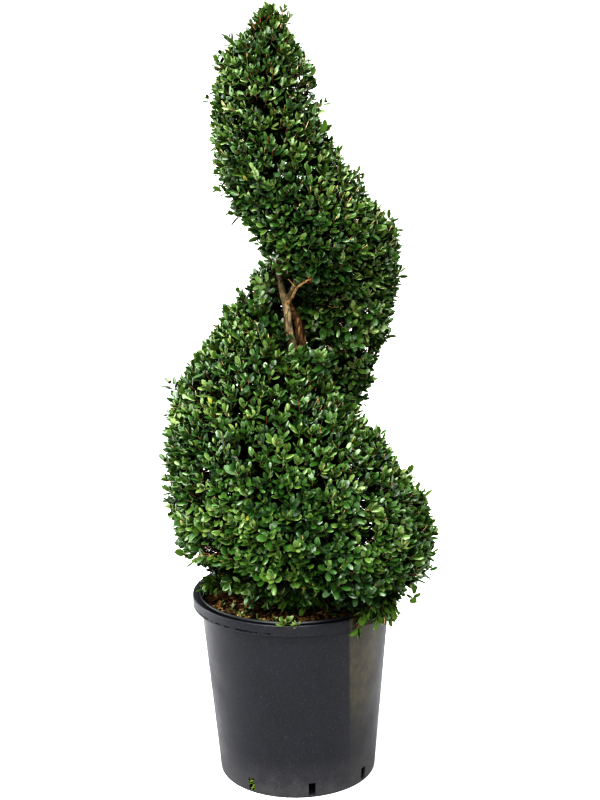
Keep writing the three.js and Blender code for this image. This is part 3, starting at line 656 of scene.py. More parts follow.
def lathe(name, profile, sides):
    """A ring drawn at the profile's first point, then extruded from point to point as on a lathe."""
    deselect()
    radius, height = profile[0]
    bpy.ops.mesh.primitive_circle_add(vertices=sides, radius=radius, location=(0, 0, height))
    made = bpy.context.object
    made.name = name
    bpy.ops.object.transform_apply(location=True, rotation=True, scale=True)
    bpy.ops.object.mode_set(mode="EDIT")
    for (r0, z0), (r1, z1) in zip(profile, profile[1:]):
        bpy.ops.mesh.extrude_region_move(TRANSFORM_OT_translate={"value": (0, 0, z1 - z0)})
        bpy.ops.transform.resize(value=(r1 / r0, r1 / r0, 1), center_override=(0, 0, z1))
    bpy.ops.mesh.select_all(action="SELECT")
    bpy.ops.mesh.fill_holes(sides=0)
    bpy.ops.mesh.select_all(action="SELECT")
    bpy.ops.mesh.normals_make_consistent(inside=False)
    bpy.ops.object.mode_set(mode="OBJECT")
    return made


def finish(piece, nodes, materials):
    """The piece's finishes and the nodes it stands for, which are hidden; it rides on the body."""
    for material in materials:
        piece.data.materials.append(material)
    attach(piece, BODY)
    if nodes:
        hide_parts(*nodes)


def mesh_piece(name, points, faces, tones=None, rim=None):
    """One object from arrays of points and triangles, with a finish number for each triangle.

    An edge between two points that rim flags stays sharp.
    """
    mesh = bpy.data.meshes.new(name)
    count = len(faces)
    mesh.vertices.add(len(points))
    mesh.vertices.foreach_set("co", np.ascontiguousarray(points, np.float32).ravel())
    mesh.loops.add(3 * count)
    mesh.loops.foreach_set("vertex_index", np.ascontiguousarray(faces, np.int32).ravel())
    mesh.polygons.add(count)
    mesh.polygons.foreach_set("loop_start", np.arange(count, dtype=np.int32) * 3)
    if tones is not None:
        mesh.polygons.foreach_set("material_index", np.ascontiguousarray(tones, np.int32))
    mesh.polygons.foreach_set("use_smooth", np.ones(count, bool))
    mesh.update(calc_edges=True)
    if rim is not None:
        ends = np.empty(2 * len(mesh.edges), np.int32)
        mesh.edges.foreach_get("vertices", ends)
        flags = mesh.attributes.new("sharp_edge", "BOOLEAN", "EDGE")
        flags.data.foreach_set("value", rim[ends.reshape(-1, 2)].all(1))
    made = bpy.data.objects.new(name, mesh)
    bpy.context.scene.collection.objects.link(made)
    return made


def unit(vectors):
    """Vectors at length one."""
    return vectors / np.maximum(np.linalg.norm(vectors, axis=-1, keepdims=True), 1e-9)


def tube_faces(rings, sides):
    """Triangles of one closed tube, ring after ring and then its two ends, and the ring of each."""
    here = np.arange(sides)
    after = (here + 1) % sides
    fan = np.arange(1, sides - 1)
    top = (rings - 1) * sides
    faces = []
    for low in range(0, top, sides):
        high = low + sides
        faces.append(np.stack((high + after, high + here, low + here), 1))
        faces.append(np.stack((low + after, high + after, low + here), 1))
    faces.append(np.stack((fan + 1, fan, 0 * fan), 1))
    faces.append(np.stack((top + fan, top + fan + 1, top + 0 * fan), 1))
    ring_of = np.concatenate((np.repeat(np.arange(rings - 1), 2 * sides), 0 * fan, 0 * fan + rings - 2))
    return np.concatenate(faces), ring_of


def tube_arrays(paths, radii, sides):
    """Points and triangles of many tubes at once: paths are (tubes, rings, 3), radii (tubes, rings)."""
    tubes, rings = radii.shape
    tangent = unit(np.gradient(paths, axis=1))
    guide = np.where(np.abs(tangent[:, :1, 2:]) > NEAR_UPRIGHT, [[[1.0, 0.0, 0.0]]], [[[0.0, 0.0, 1.0]]])
    side = unit(np.cross(tangent, np.broadcast_to(guide, tangent.shape)))
    other = np.cross(tangent, side)
    turn = np.arange(sides) * 2 * np.pi / sides
    ring = side[:, :, None] * np.cos(turn)[:, None] + other[:, :, None] * np.sin(turn)[:, None]
    points = (paths[:, :, None] + ring * radii[:, :, None, None]).reshape(-1, 3)
    one, ring_of = tube_faces(rings, sides)
    faces = (one[None] + (np.arange(tubes) * rings * sides)[:, None, None]).reshape(-1, 3)
    return points, faces, np.tile(ring_of, tubes)


# The spiral's shape


def curve(knots, place):
    """A smooth curve through (place, value) knots, level past its ends."""
    places, values = np.array(knots, float).T
    x = np.clip(place, places[0], places[-1])
    i = np.clip(np.searchsorted(places, x, side="right") - 1, 0, len(places) - 2)
    gaps = np.diff(places)
    rises = np.diff(values) / gaps
    inner = (rises[:-1] * gaps[1:] + rises[1:] * gaps[:-1]) / (gaps[1:] + gaps[:-1])
    slopes = np.concatenate((rises[:1], inner, rises[-1:]))
    t = (x - places[i]) / gaps[i]
    t2, t3 = t * t, t * t * t
    return (
        (2 * t3 - 3 * t2 + 1) * values[i]
        + (t3 - 2 * t2 + t) * gaps[i] * slopes[i]
        + (3 * t2 - 2 * t3) * values[i + 1]
        + (t3 - t2) * gaps[i] * slopes[i + 1]
    )


def ease(value):
    """0 to 1 with level ends."""
    t = np.clip(value, 0.0, 1.0)
    return t * t * (3 - 2 * t)


def shoulder(value, roundness):
    """0 to 1, steep at first: the round shoulder of a clipped flank."""
    return (1 - (1 - np.clip(value, 0.0, 1.0)) ** roundness) ** (1 / roundness)


def groove_depth(angle):
    """How deep the groove is at a band angle, 0 to 1."""
    return ease((angle - GROOVE_START) / (GROOVE_FULL - GROOVE_START))


def band_span(angle):
    """The band's lowest and highest clipped surface at an angle, and how deep the groove is at each."""
    above = angle - 360.0
    below = groove_depth(angle)
    bed = curve(GROOVE_BED, angle) + UPPER_FLANK["clear"] * below
    runout = ease((bed - FOLIAGE_FOOT) / GROOVE_RUNOUT)
    over = np.where(above > GROOVE_START, groove_depth(above), 0.0)
    ceiling = curve(GROOVE_BED, above) - LOWER_FLANK["clear"] * over
    closed = ceiling < CROWN_SPLIT
    top = np.where(closed, ceiling, CROWN_SPLIT)
    return np.maximum(bed, FOLIAGE_FOOT), top, below * runout, np.where(closed, over, 0.0)


def band_radius(angle, z):
    """The clipped surface's distance from the outline's middle."""
    bottom, top, depth_below, depth_above = band_span(angle)
    inner = curve(HOLLOW_RADIUS, z)
    rise = shoulder((z - bottom) / UPPER_FLANK["height"], UPPER_FLANK["roundness"])
    fall = shoulder((top - z) / LOWER_FLANK["height"], LOWER_FLANK["roundness"])
    edge = (z - FOLIAGE_FOOT) / FOOT_EDGE["height"] + FOOT_EDGE["start"]
    under = (1 - depth_below * (1 - rise)) * shoulder(edge, FOOT_EDGE["roundness"])
    over = 1 - depth_above * (1 - fall)
    return inner + np.maximum(0.0, curve(OUTLINE_RADIUS, z) - inner) * under * over


def on_band(angle, r, z):
    """The point at a band angle, radius and height."""
    a = np.radians(angle)
    return np.stack((curve(OUTLINE_MIDDLE, z) + r * np.cos(a), r * np.sin(a), z + 0 * r), -1)


def shell_point(angle, share):
    """The clipped surface's point at a share of the band's height."""
    bottom, top, _, _ = band_span(angle)
    z = bottom + (top - bottom) * share
    return on_band(angle, band_radius(angle, z), z)


def facing(surface, angle, share, step):
    """A surface's outward direction, from its slopes over one degree and over a step of its share."""
    low, high = np.clip(share - step, 0, 1), np.clip(share + step, 0, 1)
    along = surface(angle + HALF_DEGREE, share) - surface(angle - HALF_DEGREE, share)
    upward = surface(angle, high) - surface(angle, low)
    return unit(np.cross(along, upward))


def shell_normal(angle, share):
    """The clipped surface's outward direction."""
    return facing(shell_point, angle, share, SLOPE_STEPS["shell"])


def tip_point(angle, share):
    """The crown tip's clipped surface."""
    top = OUTLINE_RADIUS[-1][0]
    z = CROWN_SPLIT + (top - CROWN_SPLIT) * share
    return on_band(angle, curve(OUTLINE_RADIUS, z), z)


def tip_normal(angle, share):
    """The crown tip's outward direction."""
    return facing(tip_point, angle, share, SLOPE_STEPS["tip"])


def spread(surface, first, last, spacing, random):
    """Places on a clipped surface in staggered rows of even spacing, as band angles and shares."""
    sectors = max(1, round((last - first) / SECTOR))
    width = (last - first) / sectors
    shares = (1 - np.cos(np.linspace(0, np.pi, SECTION_POINTS))) / 2
    angles, places = [], []
    for k in range(sectors):
        middle = first + width * (k + 0.5)
        line = surface(np.full(SECTION_POINTS, middle), shares)
        lengths = np.concatenate(([0.0], np.cumsum(np.linalg.norm(np.diff(line, axis=0), axis=1))))
        rows = max(1, int(lengths[-1] / spacing + 0.5))
        for row in range(rows):
            goal = (row + 0.5) / rows * lengths[-1]
            middle_x = curve(OUTLINE_MIDDLE, line[:, 2])
            reach = np.interp(goal, lengths, np.hypot(line[:, 0] - middle_x, line[:, 1]))
            count = int(reach * math.radians(width) / spacing + random.random())
            for j in range(count):
                angles.append(first + width * (k + (j + random.random()) / count))
                nudge = (random.random() - 0.5) * ROW_NUDGE / rows * lengths[-1]
                places.append(np.interp(goal + nudge, lengths, shares))
    return np.array(angles), np.array(places)


# Stems and boughs


def limb_path(places, step):
    """Points and radii along a limb, a centripetal curve through its places."""
    knots = np.array([p[:3] for p in places])
    radii = np.array([p[3] for p in places])
    ends = np.concatenate(([2 * knots[0] - knots[1]], knots, [2 * knots[-1] - knots[-2]]))
    points, sizes = [], []
    for i in range(len(knots) - 1):
        p0, p1, p2, p3 = ends[i:i + 4]
        g0, g1, g2 = (math.sqrt(np.linalg.norm(b - a)) for a, b in ((p0, p1), (p1, p2), (p2, p3)))
        m1 = ((p1 - p0) / g0 - (p2 - p0) / (g0 + g1) + (p2 - p1) / g1) * g1
        m2 = ((p2 - p1) / g1 - (p3 - p1) / (g1 + g2) + (p3 - p2) / g2) * g1
        count = max(2, math.ceil(np.linalg.norm(p2 - p1) / step))
        last = i == len(knots) - 2
        t = np.linspace(0, 1, count + 1)[: count + 1 if last else count, None]
        points.append(
            (2 * t**3 - 3 * t**2 + 1) * p1 + (t**3 - 2 * t**2 + t) * m1
            + (3 * t**2 - 2 * t**3) * p2 + (t**3 - t**2) * m2
        )
        sizes.append(radii[i] + (radii[i + 1] - radii[i]) * t[:, 0])
    return np.concatenate(points), np.concatenate(sizes)


def limb_place(places, z):
    """The place on a limb's middle line at a height."""
    return np.array([curve([(p[2], p[k]) for p in places], z) for k in (0, 1)] + [z], float)


def bough_places(mass):
    """The bough that carries a mass, as places from its limb to the hollow's wall."""
    parent = TRUNK if mass["bough"] == "trunk" else REAR_STEM
    bearing = mass.get("bearing", (mass["from"] + mass["to"]) / 2)
    bottom, top, below, above = (float(v) for v in band_span(np.float64(bearing)))
    z = np.linspace(bottom, top, SECTION_POINTS)
    widest = (band_radius(bearing, z) - curve(HOLLOW_RADIUS, z)).max()
    inset = min(CORE["inset"], CORE["share"] * widest)
    lift = min(inset * CORE["lift"], (top - bottom) * CORE["lift_share"])
    low = bottom + (lift * below if bearing < GROOVE_FULL else lift)
    high = top - lift * above
    joins = mass.get("joins")
    goal = joins + BOUGH["rise"] if joins else low + (high - low) * BOUGH["place"]
    start = limb_place(parent, joins or max(SOIL_TOP + BOUGH["rise"], goal - BOUGH["rise"]))
    end = on_band(bearing, curve(HOLLOW_RADIUS, goal) - BOUGH["bare"], np.float64(goal))
    share = min(1.0, max(0.0, (goal - BOUGH["low"]) / (BOUGH["high"] - BOUGH["low"])))
    radius = BOUGH["low_radius"] + (BOUGH["high_radius"] - BOUGH["low_radius"]) * share
    bend = (start + end) / 2 - UP * BOUGH["sag"]
    return (
        (*start, radius), (*bend, radius * (1 + BOUGH["taper"]) / 2), (*end, radius * BOUGH["taper"]),
    )


# Bark relief: how fast its ridges change along a limb, its broad lumps, and how high a foot flares
BARK = {"along": 28.0, "lump": 0.09, "lump_along": 30.0, "seed_step": 7, "flare_height": 35 * MM, "lobes": 3}
BARK_GRAIN = {"H": 0.8, "lacunarity": 2.2, "octaves": 4}
# Each kind of limb: sides, how many ridges run round it, their depth, and the flare of its foot
LIMBS = {
    "trunk": (28, 2.6, 0.09, 0.16),
    "rear_stem": (24, 3.8, 0.42, 0.12),
    "bough": (12, 1.8, 0.18, 0.0),
    "fork": (8, 1.8, 0.15, 0.0),
    "stub": (10, 1.8, 0.18, 0.0),
}


def bark_limb(name, kind, places, seed, step):
    """A limb whose bark stands up in long ridges, with lobes at a flared foot."""
    sides, ridges, depth, flare = LIMBS[kind]
    path, radii = limb_path(places, step)
    tangent = unit(np.gradient(path, axis=0))
    side = unit(np.cross(np.broadcast_to([0.0, 1.0, 0.0], tangent.shape), tangent))
    other = np.cross(tangent, side)
    points = []
    for k, (middle, radius) in enumerate(zip(path, radii)):
        rise = middle[2] - path[0][2]
        lobe = flare * math.exp(-abs(rise) / BARK["flare_height"])
        for j in range(sides):
            turn = 2 * math.pi * j / sides
            way = side[k] * math.cos(turn) + other[k] * math.sin(turn)
            at = Vector((math.cos(turn) * ridges, math.sin(turn) * ridges, rise * BARK["along"] + seed))
            grain = noise.fractal(at, *BARK_GRAIN.values())
            lift = rise * BARK["lump_along"] + BARK["seed_step"] * seed
            at = Vector((math.cos(turn), math.sin(turn), lift))
            lump = noise.noise(at)
            share = 1 + depth * grain + BARK["lump"] * lump + lobe * math.cos(BARK["lobes"] * turn + seed)
            points.append(middle + way * radius * share)
    faces, _ = tube_faces(len(path), sides)
    return mesh_piece(name, np.array(points), faces)


# Growth of a mass: forks under the shell, shoots out to it, leaves in crossed pairs

# What each kind of growth adds to its group's seed
SEED_OF = {
    "rear_stem": 4, "fork": 30, "mass": 20, "lining": 1, "underside": 2, "sprigs": 3, "tufts": 4,
    "hubs": 500, "leaves": 900, "twigs": 1300, "seedlings": 60,
}

# The clipped surface's gentle bumps, and the few shoots that have grown past it
WAVES = np.array([[38.0, -21.0, 11.0], [17.0, 43.0, -29.0], [29.0, 34.0, 47.0]])
WAVE_STARTS = np.array([0.7, 2.1, 4.0])
WAVE_HEIGHT = 2.2 * MM
STRAY = {"share": 0.09, "reach": (0.005, 0.019)}

# Shoots: how far a tip leaf reaches past its shoot, how evenly they are clipped, and how they turn
TIP_LEAF_REACH = 11 * MM
CLIP_SPREAD = 3.5 * MM
TURN_SPREAD = 0.23
LENGTH_RANGE = (0.75, 1.25)
TURN_DOWN = 0.5
FOOT_WAY = {"out": 0.5, "up": 0.35}
SIZE_SPREAD = 0.09
HUB_DEPTH = 1.25

# Shoots of each surface: their spacing, how far they lean upwards and how long they are
SHELL_LEAN = 1.0
UPPER_CLOSER = 0.90
LINING = {"spacing": 20 * MM, "lean": 0.6, "length": 36 * MM, "under": 12 * MM, "behind": 4 * MM}
UNDERSIDE = {
    "from": 450.0, "spacing": 26 * MM, "lean": 0.1, "length": 36 * MM, "below": 4 * MM, "edge": 6 * MM,
    "out": 0.25, "out_at_edge": 0.9, "down": -0.5,
}
CROWN_TIP = {"closer": 0.86, "lean": 0.85, "length": 36 * MM}

# Foot of the lowest turn, lifted off the soil at the front left by a height at each band angle
FOOT_LIFT = ((524, 0.0), (548, 0.060), (640, 0.058), (666, 0.020), (690, 0.0))
FOOT_BARE = {"from": 0.070, "to": 0.170, "below": 6 * MM}
# Places where leaves grow paler: new growth at the lower left front, and painted light on the leaves in the
# recess right of the trunk
PALE_GROWTH_AND_PAINTED_LIGHT = (
    {"at": (-0.110, -0.170, 0.585), "radius": 0.075, "gain": 0.9},
    # Paler leaves in the recess right of the trunk: painted light
    {"at": (0.090, 0.040, 0.860), "radius": 0.110, "gain": 0.9},
)
# A spray's tone comes from its own chance and from where it grows, and is dealt out in steps
PATCH_WAVE = np.array([23.0, 31.0, 19.0])
PATCH_START = 0.5
TONE = {"own": 0.9, "patch": 0.7, "steps": (-0.25, 1.0, 2.4)}

# How a leaf sits on its shoot: spreads of its place, turns and size, and how far out its root lies
LEAF_SEAT = {"slide": 1.2 * MM, "turn": 0.28, "lean": 12.0, "heading": 0.10, "size": 0.12, "out": 1.2 * MM}
# Leaves stand above a shoot's foot, face up a little, and keep room from a stem to their middles
SHOOT_START = 0.02
BARE_SHARE = 0.85
LEAF_LIFT = 0.3
LEAF_ROOM = 4 * MM
LEAF_MIDDLE = 0.6

# Branches run from a bough's tip to the forks, and twigs from the forks out along the shoots
BRANCH = {
    "rings": 7, "sides": 5, "sway": 0.10, "forward": 0.45, "radius": 1.9, "end": 0.55, "first_fork": 2,
}
TWIG_WIDTHS = np.array([1.2, 1.1, 1.0, 0.85, 0.6, 0.55])
TWIG_SIDES = 3
TWIG_RANGE = (0.8, 1.2)
TWIG_END = 0.4
TWIG_SAG = 0.12
CUT_STUB = (5 * MM, 16 * MM)
# Shares of red, tan and green twigs, of twigs whose old bark runs further out, and of clipped ends
TWIG_SHARES = (0.45, 0.30, 0.25)
OLDER_SHARE = 0.5
CUT_SHARES = {"right": 0.24, "other": 0.10}

# Loose shoots: their arch and sway at the foot, and the spread of their turn, leaf size and tone
SPRIG = {"arch": 0.22, "sway": 6 * MM, "tone": (0.3, 0.4)}
LOOSE = {"turn": 0.28, "size": 0.08, "tone": 0.5}


def rooted_inside(shoots, angles, surface_gap):
    """The shoots whose feet lie under the clipped surface by a gap at least."""
    x, y, z = shoots["foot"].T
    x = x - curve(OUTLINE_MIDDLE, z)
    turned = np.degrees(np.arctan2(y, x))
    near = angles + (turned - angles + 180) % 360 - 180
    bottom, top, _, _ = band_span(near)
    inside = (z > bottom) & (z < top) & (np.hypot(x, y) < band_radius(near, z) - surface_gap)
    return {key: value[inside] for key, value in shoots.items()}


def raised_foot(points, angles):
    """Points lifted off the foot at the front left, where the lowest turn leaves the soil bare."""
    reach = np.hypot(points[:, 0], points[:, 1])
    share = np.clip((reach - FOOT_BARE["from"]) / (FOOT_BARE["to"] - FOOT_BARE["from"]), 0, 1)
    lift = np.where(angles > UNDERSIDE["from"], curve(FOOT_LIFT, angles), 0)
    lowest = FOLIAGE_FOOT - FOOT_BARE["below"] + lift * share
    return np.concatenate((points[:, :2], np.maximum(points[:, 2:], lowest[:, None])), 1)


def grow(surface, normal, first, last, seed, spacing, lean, length):
    """The shoots under a surface as arrays, one row a shoot; lean is how far they turn upwards."""
    random = np.random.default_rng(seed)
    angles, shares = spread(surface, first, last, spacing, random)
    count = len(angles)
    out = normal(angles, shares)
    goal = surface(angles, shares)
    waves = np.sin(goal @ WAVES.T + WAVE_STARTS).sum(1)
    stray = np.where(random.random(count) < STRAY["share"], random.uniform(*STRAY["reach"], count), 0.0)
    lift = WAVE_HEIGHT * waves + random.normal(0, CLIP_SPREAD, count) - TIP_LEAF_REACH + stray
    rise = lean + TURN_DOWN * np.clip(-out[:, 2:], 0, 1)
    way = unit(out + UP * rise + random.normal(0, TURN_SPREAD, (count, 3)))
    goal = raised_foot(goal + out * lift[:, None], angles)
    size = length * random.uniform(*LENGTH_RANGE, count) + stray
    foot = goal - size[:, None] * unit(way + FOOT_WAY["out"] * out - FOOT_WAY["up"] * UP)
    growth_and_painted_light = np.zeros(count)
    for patch in PALE_GROWTH_AND_PAINTED_LIGHT:
        away = np.linalg.norm(goal - patch["at"], axis=1) / patch["radius"]
        growth_and_painted_light += patch["gain"] * np.exp(-away**2)
    return {
        "foot": foot, "bend": goal - 0.5 * size[:, None] * way, "end": goal, "way": way, "length": size,
        "turn": random.uniform(0, np.pi, count), "size": random.normal(1, SIZE_SPREAD, count),
        "patch": np.sin(goal @ PATCH_WAVE + PATCH_START) + growth_and_painted_light, "loose": stray > 0,
        "angle": angles, "inner": np.zeros(count, bool),
    }


def join(parts):
    """Several sets of shoots as one."""
    return {key: np.concatenate([part[key] for part in parts]) for key in parts[0]}


def along_shoot(shoots, share):
    """Points and directions on the shoots' curves: share 0 is the foot, 1 the end."""
    t = share[:, None]
    foot, bend, end = shoots["foot"], shoots["bend"], shoots["end"]
    point = (1 - t) ** 2 * foot + 2 * t * (1 - t) * bend + t**2 * end
    return point, unit(2 * (1 - t) * (bend - foot) + 2 * t * (end - bend))


def leaf_arrays(shoots, foliage, seed):
    """Points, triangles and finishes of every leaf of the shoots."""
    random = np.random.default_rng(seed + SEED_OF["leaves"])
    count = len(shoots["length"])
    pale, yellow, shade = (LEAF_TONES.index(name) for name in ("leaf_pale", "leaf_yellow", "leaf_shade"))
    tone = TONE["own"] * random.normal(0, 1, count) + TONE["patch"] * shoots["patch"]
    spray_tone = np.digitize(tone, TONE["steps"]).astype(int)
    roots, headings, lifts, sizes, tones, kinds = [], [], [], [], [], []
    for k, (back, size, angle) in enumerate(PAIRS):
        slide = random.normal(0, LEAF_SEAT["slide"], count)
        share = np.clip(1 - (back + slide) / shoots["length"], SHOOT_START, 1)
        point, way = along_shoot(shoots, share)
        guide = np.where(np.abs(way[:, 2:]) > NEAR_UPRIGHT, [[1.0, 0.0, 0.0]], [[0.0, 0.0, 1.0]])
        side = unit(np.cross(way, guide))
        other = np.cross(way, side)
        for half in (0, 1):
            turn = shoots["turn"] + np.pi / 2 * (k % 2) + np.pi * half
            turn = turn + random.normal(0, LEAF_SEAT["turn"], count)
            outward = side * np.cos(turn)[:, None] + other * np.sin(turn)[:, None]
            lean = np.radians(angle + random.normal(0, LEAF_SEAT["lean"], count))[:, None]
            sway = random.normal(0, LEAF_SEAT["heading"], (count, 3))
            heading = unit(way * np.cos(lean) + outward * np.sin(lean) + sway)
            face = unit(way * np.sin(lean) - outward * np.cos(lean) + LEAF_LIFT * UP * (k > 0))
            keep = (random.random(count) < KEPT[k]) & (back < BARE_SHARE * shoots["length"])
            fresher = (random.random(count) < FRESHER[k]).astype(int)
            own = np.minimum(spray_tone + fresher, pale)
            turned = (random.random(count) < YELLOW_SHARE) & (spray_tone < pale)
            own = np.where(turned, yellow, own)
            # Leaves from SHADED_FROM on, unless they are loose, take the near-black painted shade
            deep = (k >= SHADED_FROM) & ~shoots["loose"]
            own = np.where(deep, shade, own)
            kind = np.where(deep, DEEP, np.where((k >= RIMMED_PAIRS) | shoots["inner"], OPEN, RIMMED))
            root = point + outward * LEAF_SEAT["out"]
            length = foliage.leaf * size * shoots["size"] * curve(LEAF_SHARE, root[:, 2])
            length = length * random.normal(1, LEAF_SEAT["size"], count)
            keep &= clear_of_limbs(root + heading * (length * LEAF_MIDDLE)[:, None], LEAF_ROOM)
            tones.append(own[keep])
            kinds.append(kind[keep])
            roots.append(root[keep])
            headings.append(heading[keep])
            lifts.append(face[keep])
            sizes.append(length[keep])
    root, heading, face = (np.concatenate(part) for part in (roots, headings, lifts))
    size, tone, kind = (np.concatenate(part) for part in (sizes, tones, kinds))
    points, faces, finishes, rims, before = [], [], [], [], 0
    for number, blade in enumerate(BLADES):
        own = kind == number
        made = blades(blade, root[own], heading[own], face[own], size[own], tone[own], foliage, random)
        points.append(made[0])
        faces.append(made[1] + before)
        finishes.append(made[2])
        rims.append(made[3])
        before += len(made[0])
    return tuple(np.concatenate(part) for part in (points, faces, finishes, rims))


def camera_turn(pitch, roll):
    """The camera's rotation from its tilt down and its roll, in radians."""
    return Matrix.Rotation(math.pi / 2 - pitch, 4, "X") @ Matrix.Rotation(roll, 4, "Z")


def sight_line(column, row):
    """The line from the plant's front to its back that a pixel of the photo sees, to the millimetre."""
    focal = CAMERA["lens"] / SENSOR * PHOTO["height"]
    ray = Vector(((column - PHOTO["width"] / 2) / focal, (PHOTO["height"] / 2 - row) / focal, -1.0))
    ray = camera_turn(math.radians(CAMERA["pitch"]), math.radians(CAMERA["roll"])).to_3x3() @ ray
    eye = np.array((CAMERA["side"], -CAMERA["distance"], CAMERA["height"]))
    return tuple(np.round(eye + np.array(ray) * (y - eye[1]) / ray.y, 3) for y in (-SKY_REACH, SKY_REACH))


SKY_GAPS = tuple((*sight_line(column, row), radius) for column, row, radius in SKY_PLACES)


def clear_of_limbs(points, margin):
    """Which points are clear of the stems, of what shows in front of them and of the gaps to the sky."""
    clear = np.ones(len(points), bool)
    for places in (TRUNK, REAR_STEM):
        z = points[:, 2]
        middle = np.stack([curve([(p[2], p[k]) for p in places], z) for k in (0, 1)], 1)
        radius = curve([(p[2], p[3]) for p in places], z)
        beside = (z > places[0][2]) & (z < places[-1][2])
        clear &= ~(beside & (np.linalg.norm(points[:, :2] - middle, axis=1) < radius + margin))
    for start, end, radius in CLEARINGS + SKY_GAPS:
        along = np.array(end) - start
        share = np.clip((points - start) @ along / (along @ along), 0, 1)
        clear &= np.linalg.norm(points - start - share[:, None] * along, axis=1) > radius
    return clear


def blades(blade, root, heading, face, size, tone, foliage, random):
    """Leaf blades of one kind from their roots, headings and the way that their upper faces look.

    Returns points, triangles, finishes and which points lie on an outline.
    """
    count = len(size)
    face = unit(face - (face * heading).sum(1, keepdims=True) * heading)
    across = np.cross(face, heading)
    fold = random.normal(*FOLD, count)
    curl = random.normal(*CURL, count)
    wide = foliage.leaf_width / 2 * random.normal(1, WIDTH_SPREAD, count)
    along, aside, fold_share, bulge = blade["points"].T
    rise = fold[:, None] * fold_share - curl[:, None] * along**2 + bulge
    points = (
        root[:, None]
        + heading[:, None] * (along * size[:, None])[..., None]
        + across[:, None] * (aside * (wide * size)[:, None])[..., None]
        + face[:, None] * (rise * size[:, None])[..., None]
    )
    edge, corners = blade["edge"], len(along)
    under = [(i, (i + 1) % edge, corners - 1) for i in range(edge)]
    one = np.array(blade["top"] + blade["rim"] + under)
    faces = one[None] + (np.arange(count) * corners)[:, None, None]
    shaded = tone == LEAF_TONES.index("leaf_shade")
    below = np.where(shaded, LEAF_TONES.index("leaf_shade_under"), LEAF_TONES.index("leaf_under"))
    # Most rims take the next paler tone, a painted highlight along the leaf's edge
    paler = (tone < LEAF_TONES.index("leaf_pale")) & (random.random(count) < PAINTED_RIM_HIGHLIGHTS)
    finishes = np.concatenate((
        np.repeat(tone[:, None], len(blade["top"]), 1),
        np.repeat((tone + paler)[:, None], len(blade["rim"]), 1), np.repeat(below[:, None], edge, 1),
    ), 1)
    rim = np.tile(np.arange(corners) < edge, count)
    return points.reshape(-1, 3), faces.reshape(-1, 3), finishes.ravel(), rim


def hubs_of(surface, normal, first, last, foliage, seed):
    """Where the branches under a surface end, at the source's spray spacing."""
    random = np.random.default_rng(seed + SEED_OF["hubs"])
    angles, shares = spread(surface, first, last, foliage.hub_spacing, random)
    return surface(angles, shares) - normal(angles, shares) * foliage.shoot * HUB_DEPTH


def bezier(start, control, end, rings):
    """Points of many curves at once, (curves, rings, 3)."""
    t = np.linspace(0, 1, rings)[None, :, None]
    return (1 - t) ** 2 * start[:, None] + 2 * t * (1 - t) * control[:, None] + t**2 * end[:, None]


def twig_arrays(shoots, hubs, tip, tip_way, foliage, cut_share, seed):
    """Branches from a bough's tip to the forks, and twigs from the forks out along the shoots."""
    random = np.random.default_rng(seed + SEED_OF["twigs"])
    count = len(shoots["length"])
    reach = np.linalg.norm(hubs - tip, axis=1)[:, None]
    start = np.broadcast_to(tip, hubs.shape)
    rings = BRANCH["rings"]
    sway = random.normal(0, BRANCH["sway"], hubs.shape) * reach
    branches = bezier(start, start + tip_way * reach * BRANCH["forward"] + sway, hubs, rings)
    thickest = np.full((len(hubs), 1), BRANCH["radius"] * foliage.twig)
    radii = np.linspace(1.0, BRANCH["end"], rings) * thickest
    points_a, faces_a, _ = tube_arrays(branches, radii, BRANCH["sides"])
    forks = branches[:, BRANCH["first_fork"]:].reshape(-1, 3)
    nearest = np.argmin(np.linalg.norm(shoots["foot"][:, None] - forks[None], axis=2), axis=1)
    hub = forks[nearest]
    _, foot_way = along_shoot(shoots, np.zeros(count))
    gap = np.linalg.norm(shoots["foot"] - hub, axis=1)[:, None]
    inner = bezier(hub, (hub + shoots["foot"]) / 2 - foot_way * gap * TWIG_SAG, shoots["foot"], 3)
    middle, _ = along_shoot(shoots, np.full(count, 0.5))
    cut = random.random(count) < cut_share
    stub = np.where(cut, random.uniform(*CUT_STUB, count), 1 * MM)[:, None]
    outer = np.stack((middle, shoots["end"], shoots["end"] + shoots["way"] * stub), 1)
    paths = np.concatenate((inner, outer), 1)
    radii = foliage.twig * TWIG_WIDTHS[None] * random.uniform(*TWIG_RANGE, count)[:, None]
    radii[~cut, -1] *= TWIG_END
    points_b, faces_b, ring = tube_arrays(paths, radii, TWIG_SIDES)
    red, tan, green, pale, old = range(len(TWIG_TONES))
    kind = random.choice(3, count, p=TWIG_SHARES)
    of_tube = np.repeat(np.arange(count), len(faces_b) // count)
    tones = np.where(kind[of_tube] == green, np.where(ring >= 3, green, tan), kind[of_tube])
    # Twigs near their forks, and every branch, take the dark old bark, which is also painted shade inside the
    # crown
    tones = np.where(ring < 2 + (random.random(count) < OLDER_SHARE)[of_tube], old, tones)
    tones = np.where((ring == 4) & cut[of_tube], np.where(kind[of_tube] == red, pale, tan), tones)
    points = np.concatenate((points_a, points_b))
    faces = np.concatenate((faces_a, faces_b + len(points_a)))
    return points, faces, np.concatenate((np.full(len(faces_a), old), tones))


def hollow_point(angle, share):
    """The wall of the hollow round the stems, between the band's two flanks."""
    bottom, top, _, _ = band_span(angle)
    z = bottom + (top - bottom) * share
    return on_band(angle, curve(HOLLOW_RADIUS, z) - LINING["behind"], z)


def hollow_normal(angle, share):
    """The hollow's wall faces the stems."""
    a = np.radians(angle)
    return np.stack((-np.cos(a), -np.sin(a), 0 * a), -1)


